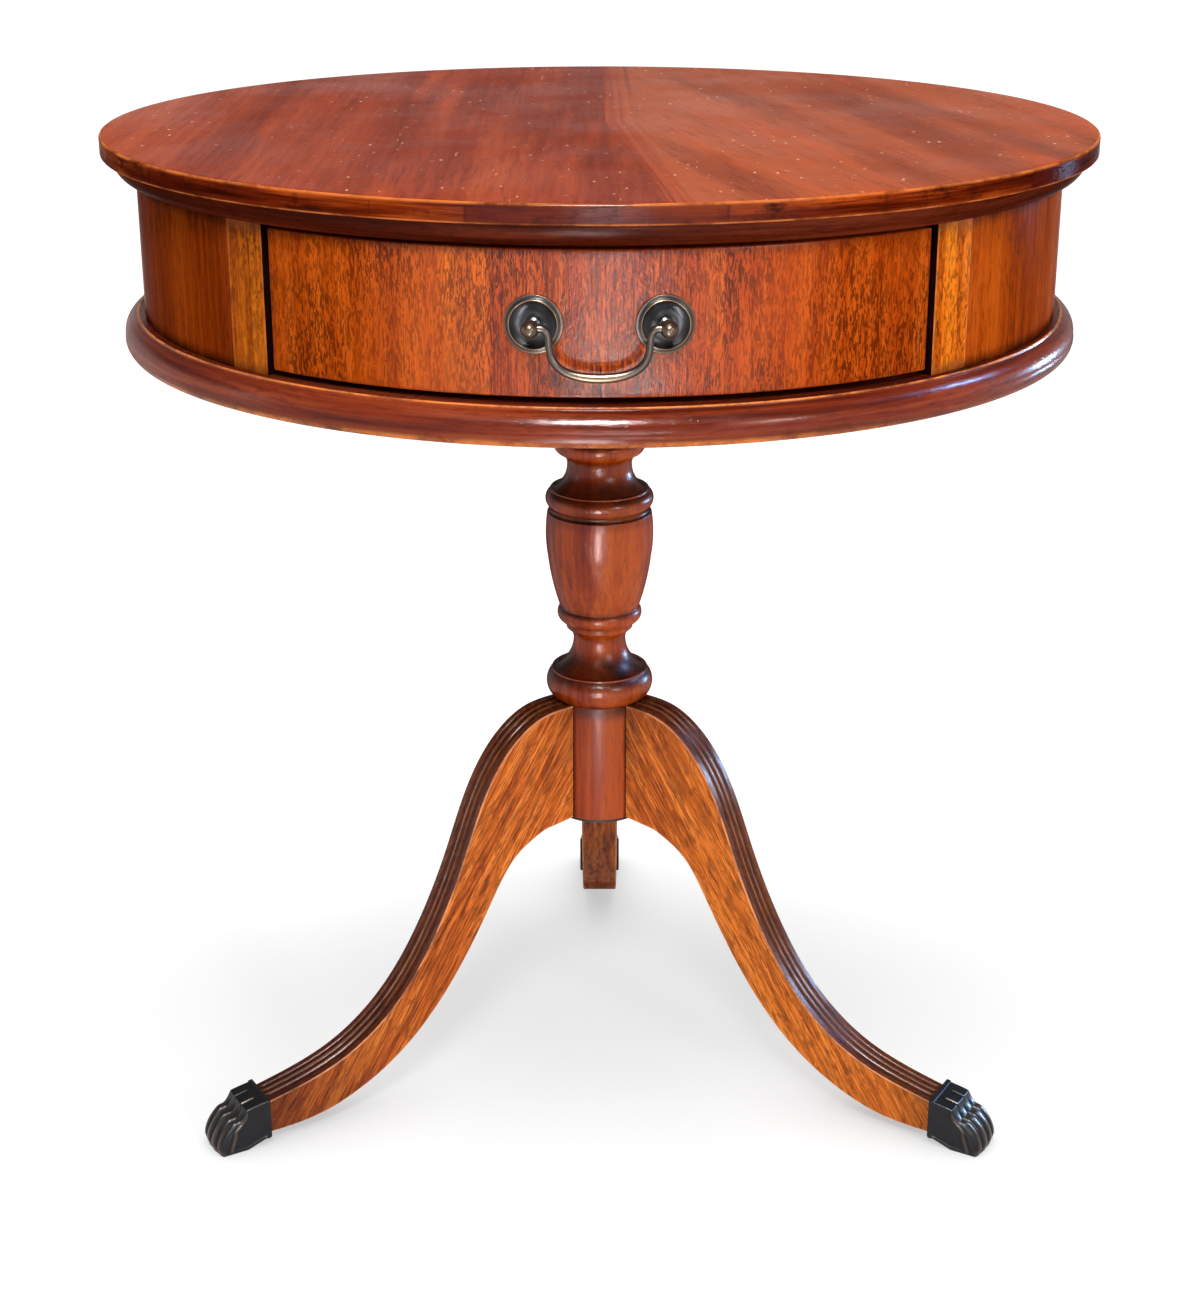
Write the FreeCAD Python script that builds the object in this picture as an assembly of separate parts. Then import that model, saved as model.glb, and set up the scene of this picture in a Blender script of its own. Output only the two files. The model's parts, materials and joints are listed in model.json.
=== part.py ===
import FreeCAD, Part
import math
import os

os.makedirs("parts", exist_ok=True)
V = FreeCAD.Vector

# A drum table: a round top on a shallow drum with one drawer, carried by a turned column on three
# sabre legs with paw toe caps. Millimetres, +Z up, origin on the floor under the column's axis.
# The drawer faces -Y and the rear leg points to +Y.

# Shared clearances and overruns
overrun = 5.0
fit_clearance = 0.1
slide_clearance = 0.3
guide_clearance = 0.5
running_clearance = 0.06

# Top
total_height = 724.0
top_overhang = 22.8
top_thickness = 12.4
edge_band_width = 6.0
edge_band_round = 1.4
edge_tongue_depth = 4.0
edge_tongue_height = 4.0
top_moulding_height = 14.6
top_moulding_reach = 15.4
top_moulding_step = 1.4
top_ring_width = 29.2

# Drum
drum_radius = 319.2
wall_thickness = 14.0
wall_height = 94.0
stile_start_angle = 39.6
stile_end_angle = 45.4
stile_thickness = 22.0
stile_proud = 0.5
block_count = 7
block_first_angle = 66.0
block_span_angle = 9.0
block_depth = 14.0
block_height = 16.0

# Moulding and floor under the drum
base_ledge_reach = 5.4
base_nose_reach = 14.2
base_moulding_height = 23.5
base_ring_width = 35.2
floor_inset = 19.2
floor_thickness = 18.0

# Drawer
drawer_half_angle = 38.7
drawer_depth_share = 0.758
drawer_top_gap = 2.6
front_thickness = 22.0
side_inset = 11.4
side_thickness = 10.0
side_height = 82.0
side_tongue_depth = 9.0
side_tongue_neck = 5.0
side_tongue_tip = 7.5
back_thickness = 10.0
back_inset = 8.0
back_top_drop = 6.0
back_dado_depth = 4.0
bottom_thickness = 5.0
bottom_lift = 8.0
bottom_groove_depth = 5.0
nail_place_shares = (-0.65, 0.0, 0.65)
nail_radius = 1.2
nail_length = 26.0
nail_head_radius = 2.8
nail_head_height = 1.0

# What the drawer runs in
runner_thickness = 3.9
runner_lap = 15.0
guide_width = 11.0
guide_height = 22.0
runner_end_gap = 3.0
runner_screw_shares = (0.1, 0.5, 0.9)
kicker_lap = 20.0
kicker_overlap = 6.0
kicker_screw_shares = (0.15, 0.5, 0.85)
stop_length = 18.0
stop_height = 22.0

# Pull: rosettes, ball posts and bail
pull_spacing = 76.2
pull_drop = 43.4
rosette_radius = 17.5
rosette_height = 4.4
post_radius = 2.6
post_collar_radius = 4.6
post_collar_height = 1.6
ball_radius = 5.2
ball_reach = 16.0
post_tail = 9.0
washer_radius = 7.0
washer_thickness = 1.2
nut_sides = 6
nut_flats = 9.0
nut_height = 4.0
bail_rod_radius = 2.1
bail_arm_inset = 10.4
bail_arm_drop = 26.6
bail_drop = 29.6
bail_shoulder_radius = 4.6
bail_corner_radius = 9.0
bail_bow_radius = 110.0
pin_play = 0.6

# Column and cleat
column_radius = 40.0
shaft_radius = 35.5
column_bottom = 205.5
cleat_size = 190.0
cleat_thickness = 24.0
cleat_bevel = 8.0
column_tenon_radius = 22.0
cleat_screw_spacing = 150.0

# Legs
leg_shoulder_top = 297.0
leg_reach = 290.0
leg_thickness = 30.0
leg_foot_thickness = 28.0
leg_tongue_depth = 12.0
leg_tongue_root = 12.0
leg_tongue_tip = 17.0
leg_tongue_height = 80.0
flute_count = 3
flute_width = 5.0
flute_pitch = 7.0
flute_depth = 1.3
flute_stop = 3.0
toe_tenon_length = 22.0
toe_tenon_width = 20.0
toe_tenon_height = 17.0
toe_tenon_lift = 9.5
leg_names = ("rear", "left", "right")
leg_first_angle = 90.0

# Paw toe caps
claw_length = 42.0
claw_height = 37.0
claw_width = 34.0
claw_nose_radius = 62.0
claw_heel_lift = 6.5
claw_collar_width = 3.5
claw_collar_proud = 0.8
toe_groove_count = 3
toe_groove_pitch = 9.6
toe_groove_width = 2.6
toe_groove_depth = 1.7

# Spider plate under the column
spider_thickness = 2.5
spider_arm_width = 20.0
spider_hub_radius = 33.0
spider_arm_share = 0.85

# Wood screws: pan heads on plain shanks with a point
screw_shank_radius = 2.0
screw_head_radius = 3.8
screw_head_height = 2.0
screw_point = 3.0
screw_grip = 10.0
top_screw_grip = 7.0
claw_screw_radius = 1.5
claw_screw_head_radius = 3.0
claw_screw_head_height = 1.6
claw_screw_seat = 6.4
claw_screw_grip = 9.0

# Turned outline of the column above the legs, from the legs up. Each row is a straight run to one
# point, or an arc through one point to another. A point is a share of the turned length and a
# share of the column's radius.
column_outline_shares = (
    ((0.036, 1.000), (0.080, 0.900)),
    ((0.085, 0.900),),
    ((0.085, 0.825),),
    ((0.123, 0.575), (0.165, 0.490)),
    ((0.189, 0.515), (0.205, 0.620)),
    ((0.223, 0.625),),
    ((0.223, 0.660),),
    ((0.246, 0.788), (0.269, 0.738)),
    ((0.337, 0.868), (0.417, 0.960)),
    ((0.485, 0.998), (0.549, 0.965)),
    ((0.557, 0.915), (0.564, 0.930)),
    ((0.587, 1.000), (0.612, 0.912)),
    ((0.617, 0.912),),
    ((0.617, 0.850),),
    ((0.646, 0.660), (0.681, 0.598)),
    ((0.703, 0.625), (0.716, 0.725)),
    ((0.742, 0.845), (0.769, 0.725)),
    ((0.777, 0.675),),
    ((0.920, 0.675),),
    ((0.945, 0.760), (0.966, 1.000)),
    ((1.000, 1.000),),
)

# Side outline of a leg. A point is a share of the reach beyond the column's shaft, and a share of
# the height of the leg's shoulder.
leg_upper_shares = ((0.0, 1.0), (0.081, 0.987), (0.155, 0.950), (0.269, 0.822), (0.356, 0.638),
                    (0.454, 0.455), (0.599, 0.280), (0.756, 0.180), (1.0, 0.114))
leg_heel_share = (0.081, 0.675)
leg_lower_shares = ((0.171, 0.626), (0.253, 0.524), (0.375, 0.345), (0.540, 0.176),
                    (0.707, 0.079), (0.843, 0.038), (1.0, 0.027))

# Side outline of a toe cap from the collar to the toes, in shares of its length and height
claw_outline_shares = (
    ((0.44, 0.91),),
    ((0.57, 0.73), (0.72, 0.65)),
    ((0.94, 0.42), (1.00, 0.14)),
    ((0.97, 0.00),),
)
claw_step_share = 0.46
claw_sole_share = 0.45

# Section of a rosette from its rim to its middle, in shares of its radius and height
rosette_outline_shares = (
    ((1.00, 0.36),),
    ((0.84, 0.50),),
    ((0.76, 1.00), (0.68, 0.62)),
    ((0.52, 0.34), (0.36, 0.52)),
)

# Section of the moulding under the drum from its upper arris to its lower edge: across, a share
# of the way from the ledge to the nose, and down, a share of its height
base_outline_shares = (
    ((0.00, 0.07),),
    ((0.78, 0.28), (1.00, 0.60)),
    ((0.96, 0.84), (0.70, 0.97)),
    ((0.42, 1.00),),
)

# Section of the moulding under the top: the middle of its ovolo, across and down
ovolo_middle_shares = (0.80, 0.66)

# Heights and radii that follow from the sizes above
top_radius = drum_radius + top_overhang
top_ring_inner_radius = drum_radius - top_ring_width
base_ring_inner_radius = drum_radius - base_ring_width
floor_radius = drum_radius - floor_inset
top_under = total_height - top_thickness
wall_top = top_under - top_moulding_height
wall_bottom = wall_top - wall_height
wall_inner_radius = drum_radius - wall_thickness
floor_under = wall_bottom - floor_thickness
cleat_under = floor_under - cleat_thickness
turned_length = cleat_under - leg_shoulder_top

front_inner_radius = drum_radius - front_thickness
front_bottom = wall_bottom + runner_thickness + slide_clearance
front_top = wall_top - drawer_top_gap
side_top = front_bottom + side_height
panel_bottom = front_bottom + bottom_lift
panel_top = panel_bottom + bottom_thickness
opening_half_width = (drum_radius - stile_thickness) * math.sin(math.radians(stile_start_angle))
side_outer = opening_half_width - side_inset
side_inner = side_outer - side_thickness
drawer_depth = drawer_depth_share * 2 * drum_radius
box_back = drawer_depth - drum_radius
board_back = box_back - back_inset

guide_inner = side_outer + guide_clearance
guide_outer = guide_inner + guide_width
runner_front = runner_end_gap - math.sqrt((drum_radius - stile_thickness) ** 2 - guide_outer ** 2)
kicker_inner = side_inner - kicker_lap
kicker_outer = side_outer + kicker_overlap
kicker_front = runner_end_gap - math.sqrt(top_ring_inner_radius ** 2 - kicker_outer ** 2)
kicker_under = side_top + guide_clearance

pull_angle = math.degrees(math.asin(pull_spacing / 2 / drum_radius))
pull_height = front_top - pull_drop
ball_across = (drum_radius + ball_reach) * math.sin(math.radians(pull_angle))
ball_out = (drum_radius + ball_reach) * math.cos(math.radians(pull_angle))


def leg_angles():
    """Directions of the legs by name, counted from +X and evenly spread from the rear one."""
    step = 360 / len(leg_names)
    return {name: leg_first_angle + step * index for index, name in enumerate(leg_names)}


def leg_point(share):
    """Place a share pair of the leg's outline in the leg's own upright plane."""
    across, up = share
    return V(shaft_radius + across * (leg_reach - shaft_radius), 0, up * leg_shoulder_top)


def outline_wire(start, rows):
    """Join points into a closed wire: one point is a straight run, two are an arc."""
    edges = []
    here = start
    for row in rows:
        if len(row) == 1:
            edges.append(Part.LineSegment(here, row[0]).toShape())
        else:
            edges.append(Part.Arc(here, row[0], row[1]).toShape())
        here = row[-1]
    edges.append(Part.LineSegment(here, start).toShape())
    return Part.Wire(edges)


def turn_outline(start, rows):
    """Revolve a closed outline that lies in the XZ plane right round the Z axis."""
    return Part.Face(outline_wire(start, rows)).revolve(V(0, 0, 0), V(0, 0, 1), 360)


def straight_rows(points):
    return [(point,) for point in points]


def ring(inner, outer, low, high):
    """A plain ring of rectangular section about the Z axis."""
    points = [V(outer, 0, low), V(outer, 0, high), V(inner, 0, high)]
    return turn_outline(V(inner, 0, low), straight_rows(points))


def sector(inner, outer, low, high, angle_from, angle_to):
    """Part of a ring, with angles counted from the drawer's middle towards +X."""
    points = [V(0, -inner, low), V(0, -outer, low), V(0, -outer, high), V(0, -inner, high)]
    face = Part.Face(Part.makePolygon(points + points[:1]))
    solid = face.revolve(V(0, 0, 0), V(0, 0, 1), angle_to - angle_from)
    solid.rotate(V(0, 0, 0), V(0, 0, 1), angle_from)
    return solid


def box(x_low, x_high, y_low, y_high, z_low, z_high):
    corner = V(x_low, y_low, z_low)
    return Part.makeBox(x_high - x_low, y_high - y_low, z_high - z_low, corner)


def prism(points, direction):
    return Part.Face(Part.makePolygon(points + points[:1])).extrude(direction)


def mirrored(shape):
    """The same piece on the other side of the table's middle plane."""
    return shape.mirror(V(0, 0, 0), V(1, 0, 0))


def turned(shape, angle):
    copy = shape.copy()
    copy.rotate(V(0, 0, 0), V(0, 0, 1), angle)
    return copy


def aim(shape, place, direction):
    """Move a shape made along +Z so that it starts at a place and points along a direction."""
    copy = shape.copy()
    copy.Placement = FreeCAD.Placement(place, FreeCAD.Rotation(V(0, 0, 1), direction))
    return copy


def wood_screw(shank_radius, length, head_radius, head_height):
    """A screw along +Z whose head lies below its seat at zero."""
    head = Part.makeCylinder(head_radius, head_height, V(0, 0, -head_height))
    straight = length - screw_point
    shank = Part.makeCylinder(shank_radius, straight)
    point = Part.makeCone(shank_radius, 0, screw_point, V(0, 0, straight))
    return head.fuse(shank).fuse(point).removeSplitter()


def screw_hole(shank_radius, length):
    return Part.makeCylinder(shank_radius + fit_clearance, length + overrun, V(0, 0, -overrun))


def drill(shape, holes):
    for hole in holes:
        shape = shape.cut(hole)
    return shape


def screw_set(places, length):
    """Screws and their holes at a list of places with directions."""
    screw = wood_screw(screw_shank_radius, length, screw_head_radius, screw_head_height)
    hole = screw_hole(screw_shank_radius, length)
    screws = [aim(screw, place, direction) for place, direction in places]
    holes = [aim(hole, place, direction) for place, direction in places]
    return screws, holes


def top_edge_band():
    """Lipping round the top, with a rounded upper arris and a tongue into the board."""
    inner = top_radius - edge_band_width
    tongue_low = top_under + (top_thickness - edge_tongue_height) / 2
    tongue_high = tongue_low + edge_tongue_height
    arris = edge_band_round * (1 - math.sqrt(0.5))
    rows = [(V(top_radius, 0, top_under),), (V(top_radius, 0, total_height - edge_band_round),),
            (V(top_radius - arris, 0, total_height - arris),
             V(top_radius - edge_band_round, 0, total_height))]
    rows += straight_rows([V(inner, 0, total_height), V(inner, 0, tongue_high),
                           V(inner - edge_tongue_depth, 0, tongue_high),
                           V(inner - edge_tongue_depth, 0, tongue_low), V(inner, 0, tongue_low)])
    return turn_outline(V(inner, 0, top_under), rows)


def top_board():
    """Round board with a groove in its edge for the lipping's tongue."""
    edge = top_radius - edge_band_width - fit_clearance
    groove_low = top_under + (top_thickness - edge_tongue_height) / 2
    groove = ring(edge - edge_tongue_depth, edge + overrun, groove_low,
                  groove_low + edge_tongue_height)
    return Part.makeCylinder(edge, top_thickness, V(0, 0, top_under)).cut(groove)


def top_moulding():
    """Ovolo ring that the top rests on."""
    foot = drum_radius + top_moulding_step
    across = top_moulding_reach - top_moulding_step
    middle = V(foot + across * ovolo_middle_shares[0], 0,
               top_under - top_moulding_height * ovolo_middle_shares[1])
    rows = [(V(foot, 0, wall_top),), (middle, V(foot + across, 0, top_under)),
            (V(top_ring_inner_radius, 0, top_under),)]
    return turn_outline(V(top_ring_inner_radius, 0, wall_top), rows)


def drum_wall():
    return sector(wall_inner_radius, drum_radius, wall_bottom, wall_top,
                  stile_end_angle, 360 - stile_end_angle)


def stile():
    """Upright on the +X side of the drawer, standing a little proud of the wall."""
    return sector(drum_radius - stile_thickness, drum_radius + stile_proud, wall_bottom, wall_top,
                  stile_start_angle, stile_end_angle)


def glue_blocks(low):
    """Blocks inside the wall, spread evenly round the back."""
    step = (360 - 2 * block_first_angle - block_span_angle) / (block_count - 1)
    starts = [block_first_angle + step * index for index in range(block_count)]
    outer = wall_inner_radius - fit_clearance
    return Part.makeCompound([sector(outer - block_depth, outer, low, low + block_height,
                                     start, start + block_span_angle) for start in starts])


def base_moulding():
    """Moulded ring under the drum: flat ledge, broad rounded nose, and a rebate for the floor."""
    arris = drum_radius + base_ledge_reach
    across = base_nose_reach - base_ledge_reach
    rows = [(V(floor_radius, 0, floor_under),), (V(floor_radius, 0, wall_bottom),),
            (V(arris, 0, wall_bottom),)]
    for row in base_outline_shares:
        rows.append(tuple(V(arris + out * across, 0, wall_bottom - down * base_moulding_height)
                          for out, down in row))
    rows.append((V(base_ring_inner_radius, 0, wall_bottom - base_moulding_height),))
    return turn_outline(V(base_ring_inner_radius, 0, floor_under), rows)


def drum_floor(holes):
    board = Part.makeCylinder(floor_radius - fit_clearance, floor_thickness, V(0, 0, floor_under))
    return drill(board, holes)


def runner(holes):
    """Rebated strip on the +X side: the drawer's side runs on its foot and along its guide."""
    foot = box(side_outer - runner_lap, guide_outer, runner_front, box_back,
               wall_bottom, wall_bottom + runner_thickness)
    guide = box(guide_inner, guide_outer, runner_front, box_back,
                wall_bottom, wall_bottom + guide_height)
    return drill(foot.fuse(guide).removeSplitter(), holes)


def runner_screw_places():
    across = (guide_inner + guide_outer) / 2
    length = box_back - runner_front
    seats = []
    for side in (-1, 1):
        for share in runner_screw_shares:
            place = V(side * across, runner_front + share * length, wall_bottom + guide_height)
            seats.append((place, V(0, 0, -1)))
    return seats


def kicker(holes):
    """Strip under the top on the +X side, just above the drawer's side."""
    strip = box(kicker_inner, kicker_outer, kicker_front, box_back, kicker_under, top_under)
    return drill(strip, holes)


def kicker_screw_places():
    across = (kicker_inner + side_inner) / 2
    length = box_back - kicker_front
    seats = []
    for side in (-1, 1):
        for share in kicker_screw_shares:
            place = V(side * across, kicker_front + share * length, kicker_under)
            seats.append((place, V(0, 0, 1)))
    return seats


def drawer_stop():
    back = box_back + guide_clearance
    return box(side_inner, guide_outer, back, back + stop_length,
               wall_bottom, wall_bottom + stop_height)


def side_tongue(clearance, low, high):
    """Upright dovetail on the front end of a drawer side, widening towards the drawer's face."""
    across = (side_inner + side_outer) / 2
    seat = -math.sqrt(front_inner_radius ** 2 - across ** 2)
    tip = seat - side_tongue_depth
    root = seat + side_thickness
    neck_half = side_tongue_neck / 2 + clearance
    tip_half = side_tongue_tip / 2 + clearance
    points = [V(across - neck_half, root, low), V(across + neck_half, root, low),
              V(across + tip_half, tip, low), V(across - tip_half, tip, low)]
    return prism(points, V(0, 0, high - low))


def drawer_side():
    """Side on +X: end cut to the curve of the front, grooved for the bottom and the back."""
    board = box(side_inner, side_outer, -drum_radius, box_back, front_bottom, side_top)
    inside = Part.makeCylinder(front_inner_radius - fit_clearance, side_height, V(0, 0, front_bottom))
    board = board.common(inside).fuse(side_tongue(0, front_bottom, side_top)).removeSplitter()
    groove_face = side_inner + bottom_groove_depth
    groove = box(side_inner - overrun, groove_face, -drum_radius, box_back + overrun,
                 panel_bottom, panel_top)
    dado = box(side_inner - overrun, side_inner + back_dado_depth, board_back - back_thickness,
               board_back, panel_top, side_top + overrun)
    return board.cut(groove).cut(dado)


def drawer_front(holes):
    """Curved front with dovetail grooves for the sides, a groove for the bottom, and post holes."""
    front = sector(front_inner_radius, drum_radius, front_bottom, front_top,
                   -drawer_half_angle, drawer_half_angle)
    socket = side_tongue(fit_clearance, front_bottom - overrun, side_top)
    panel_half = side_inner + bottom_groove_depth
    groove = Part.makeCylinder(front_inner_radius + bottom_groove_depth, bottom_thickness,
                               V(0, 0, panel_bottom))
    groove = groove.common(box(-panel_half, panel_half, -drum_radius, 0, panel_bottom, panel_top))
    return drill(front.cut(socket).cut(mirrored(socket)).cut(groove), holes)


def drawer_back(holes):
    half = side_inner + back_dado_depth - fit_clearance
    board = box(-half, half, board_back - back_thickness, board_back,
                panel_top, side_top - back_top_drop)
    return drill(board, holes)


def drawer_bottom(holes):
    """Panel in the grooves, with its front edge cut to the curve of the front."""
    half = side_inner + bottom_groove_depth - fit_clearance
    panel = box(-half, half, -drum_radius, box_back, panel_bottom, panel_top)
    edge = front_inner_radius + bottom_groove_depth - fit_clearance
    return drill(panel.common(Part.makeCylinder(edge, bottom_thickness, V(0, 0, panel_bottom))), holes)


def bottom_nails():
    """Nails up through the bottom panel into the back, and their holes."""
    along = board_back - back_thickness / 2
    places = [V(share * side_inner, along, panel_bottom) for share in nail_place_shares]
    head = Part.makeCylinder(nail_head_radius, nail_head_height, V(0, 0, -nail_head_height))
    nail = head.fuse(Part.makeCylinder(nail_radius, nail_length)).removeSplitter()
    nails = [aim(nail, place, V(0, 0, 1)) for place in places]
    holes = [aim(screw_hole(nail_radius, nail_length), place, V(0, 0, 1)) for place in places]
    return nails, holes


def on_front(shape, side):
    """Put a shape made along +Z on the drawer's face, pointing straight out of the curve."""
    angle = math.radians(side * pull_angle)
    out = V(math.sin(angle), -math.cos(angle), 0)
    return aim(shape, out * drum_radius + V(0, 0, pull_height), out)


def rosette():
    """Round stepped backplate with a raised ring, a hollow dish and a hole for the post."""
    hole = post_radius + fit_clearance
    rows = [(V(rosette_radius, 0, 0),)]
    for row in rosette_outline_shares:
        rows.append(tuple(V(out * rosette_radius, 0, up * rosette_height) for out, up in row))
    rows.append((V(hole, 0, rows[-1][-1].z),))
    return turn_outline(V(hole, 0, 0), rows)


def rosette_seat():
    return rosette_outline_shares[-1][-1][1] * rosette_height


def post(side):
    """Ball post: collar on the rosette, shank through the front, cross hole for the bail's pin."""
    shank = Part.makeCylinder(post_radius, ball_reach + front_thickness + post_tail,
                              V(0, 0, -front_thickness - post_tail))
    collar = Part.makeCylinder(post_collar_radius, post_collar_height, V(0, 0, rosette_seat()))
    ball = Part.makeSphere(ball_radius, V(0, 0, ball_reach))
    piece = on_front(shank.fuse(collar).fuse(ball).removeSplitter(), side)
    hole = Part.makeCylinder(bail_rod_radius + running_clearance, ball_radius + pin_play + overrun,
                             V(side * (ball_across + pin_play), -ball_out, pull_height),
                             V(-side, 0, 0))
    return piece.cut(hole)


def washer_seat():
    """Depth behind the drawer's face where a flat washer meets the hollow inner face."""
    return drum_radius - math.sqrt(front_inner_radius ** 2 - washer_radius ** 2)


def post_washer():
    disc = Part.makeCylinder(washer_radius, washer_thickness, V(0, 0, -washer_seat() - washer_thickness))
    return disc.cut(Part.makeCylinder(post_radius + fit_clearance, washer_seat() + overrun,
                                      V(0, 0, -washer_seat() - overrun)))


def post_nut():
    corner = nut_flats / 2 / math.cos(math.pi / nut_sides)
    low = -washer_seat() - washer_thickness - nut_height
    angles = [2 * math.pi * index / nut_sides for index in range(nut_sides)]
    points = [V(corner * math.cos(angle), corner * math.sin(angle), low) for angle in angles]
    nut = prism(points, V(0, 0, nut_height))
    return nut.cut(Part.makeCylinder(post_radius + fit_clearance, nut_height + 2 * overrun,
                                     V(0, 0, low - overrun)))


def rounded_path(points, radii):
    """Straight runs through points, with a tangent arc of a given radius at each inner point."""
    edges = []
    here = points[0]
    for index, radius in enumerate(radii, start=1):
        corner = points[index]
        before = (points[index - 1] - corner).normalize()
        after = (points[index + 1] - corner).normalize()
        half_turn = (math.pi - before.getAngle(after)) / 2
        cut = radius * math.tan(half_turn)
        middle_way = (before + after).normalize()
        middle = corner + middle_way * (radius / math.cos(half_turn) - radius)
        edges.append(Part.LineSegment(here, corner + before * cut).toShape())
        edges.append(Part.Arc(corner + before * cut, middle, corner + after * cut).toShape())
        here = corner + after * cut
    edges.append(Part.LineSegment(here, points[-1]).toShape())
    return Part.Wire(edges)


def bail():
    """Bent rod that hangs between the two ball posts, with its ends in their cross holes."""
    arm = ball_across - bail_arm_inset
    half = [V(-ball_across, -ball_out, pull_height), V(-arm, -ball_out, pull_height),
            V(-arm, -ball_out, pull_height - bail_arm_drop)]
    bow = V(0, -ball_out, pull_height - bail_drop)
    other = [V(-point.x, point.y, point.z) for point in reversed(half)]
    radii = [bail_shoulder_radius, bail_corner_radius, bail_bow_radius,
             bail_corner_radius, bail_shoulder_radius]
    path = rounded_path(half + [bow] + other, radii)
    section = Part.Wire(Part.makeCircle(bail_rod_radius, half[0], V(1, 0, 0)))
    return path.makePipeShell([section], True, False)


def column(holes):
    """Turned column: tenon in the cleat, rings, vase and necks, plain shaft with leg sockets."""
    tenon = column_tenon_radius - fit_clearance
    rows = [(V(shaft_radius, 0, column_bottom),), (V(shaft_radius, 0, leg_shoulder_top),)]
    for row in column_outline_shares:
        rows.append(tuple(V(out * column_radius, 0, leg_shoulder_top + up * turned_length)
                          for up, out in row))
    rows += straight_rows([V(tenon, 0, cleat_under), V(tenon, 0, floor_under), V(0, 0, floor_under)])
    solid = turn_outline(V(0, 0, column_bottom), rows)
    socket = leg_tongue(fit_clearance, column_bottom - overrun)
    for angle in leg_angles().values():
        solid = solid.cut(turned(socket, angle))
    return drill(solid, holes)


def column_cleat(holes):
    """Square block with bevelled lower edges, bored for the column's tenon."""
    half = cleat_size / 2
    block = box(-half, half, -half, half, cleat_under, floor_under)
    edges = [edge for edge in block.Edges if edge.BoundBox.ZMax < floor_under - cleat_bevel]
    block = block.makeChamfer(cleat_bevel, edges)
    bore = Part.makeCylinder(column_tenon_radius, cleat_thickness + 2 * overrun,
                             V(0, 0, cleat_under - overrun))
    return drill(block.cut(bore), holes)


def cleat_screw_places():
    half = cleat_screw_spacing / 2
    return [(V(x, y, cleat_under), V(0, 0, 1)) for x in (-half, half) for y in (-half, half)]


def leg_tongue(clearance, low):
    """Sliding dovetail on a leg's shoulder, in the leg's own direction along +X."""
    root_half = leg_tongue_root / 2 + clearance
    tip_half = leg_tongue_tip / 2 + clearance
    inner = shaft_radius - leg_tongue_depth
    points = [V(shaft_radius, -root_half, low), V(shaft_radius, root_half, low),
              V(inner, tip_half, low), V(inner, -tip_half, low)]
    return prism(points, V(0, 0, column_bottom + leg_tongue_height - low))


def leg_side_face():
    """Side outline of a leg: two smooth edges between the shoulder and the toe cap."""
    upper = Part.BSplineCurve()
    upper.interpolate([leg_point(share) for share in leg_upper_shares])
    heel = leg_point(leg_heel_share)
    lower = Part.BSplineCurve()
    lower.interpolate([heel] + [leg_point(share) for share in leg_lower_shares])
    shoulder = V(shaft_radius, 0, column_bottom)
    top_start = leg_point(leg_upper_shares[0])
    toe_top = leg_point(leg_upper_shares[-1])
    toe_bottom = leg_point(leg_lower_shares[-1])
    edges = [upper.toShape(),
             Part.LineSegment(toe_top, toe_bottom).toShape(),
             lower.toShape(),
             Part.LineSegment(heel, shoulder).toShape(),
             Part.LineSegment(shoulder, top_start).toShape()]
    return Part.Face(Part.Wire(Part.__sortEdges__(edges)))


def leg_flutes(blank):
    """Cutters for the flutes along the upper edge: thin slabs less the leg moved in by their depth."""
    inside = blank.copy()
    inside.translate(V(-flute_depth, 0, -flute_depth))
    cutters = []
    for index in range(flute_count):
        middle = (index - (flute_count - 1) / 2) * flute_pitch
        slab = box(shaft_radius, leg_reach - flute_stop, middle - flute_width / 2,
                   middle + flute_width / 2, 0, leg_shoulder_top + overrun)
        cutters.append(slab.cut(inside))
    return cutters


def leg_taper():
    """Upright wedge, seen from above, that the leg's two side faces follow."""
    lean = (leg_foot_thickness - leg_thickness) / 2 / (leg_reach - shaft_radius)
    inner = shaft_radius - overrun
    outer = leg_reach + overrun
    inner_half = leg_thickness / 2 - lean * overrun
    outer_half = leg_foot_thickness / 2 + lean * overrun
    points = [V(inner, -inner_half, -overrun), V(inner, inner_half, -overrun),
              V(outer, outer_half, -overrun), V(outer, -outer_half, -overrun)]
    return prism(points, V(0, 0, leg_shoulder_top + 2 * overrun))


def leg(holes):
    """Sabre leg along +X: thinner towards the foot, fluted on top, with a tongue and a toe tenon."""
    face = leg_side_face()
    face.translate(V(0, -leg_thickness, 0))
    blank = face.extrude(V(0, 2 * leg_thickness, 0))
    solid = drill(blank.common(leg_taper()), leg_flutes(blank))
    tenon = box(leg_reach, leg_reach + toe_tenon_length, -toe_tenon_width / 2, toe_tenon_width / 2,
                toe_tenon_lift, toe_tenon_lift + toe_tenon_height)
    solid = solid.fuse(leg_tongue(0, column_bottom)).fuse(tenon).removeSplitter()
    return drill(solid, holes)


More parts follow.
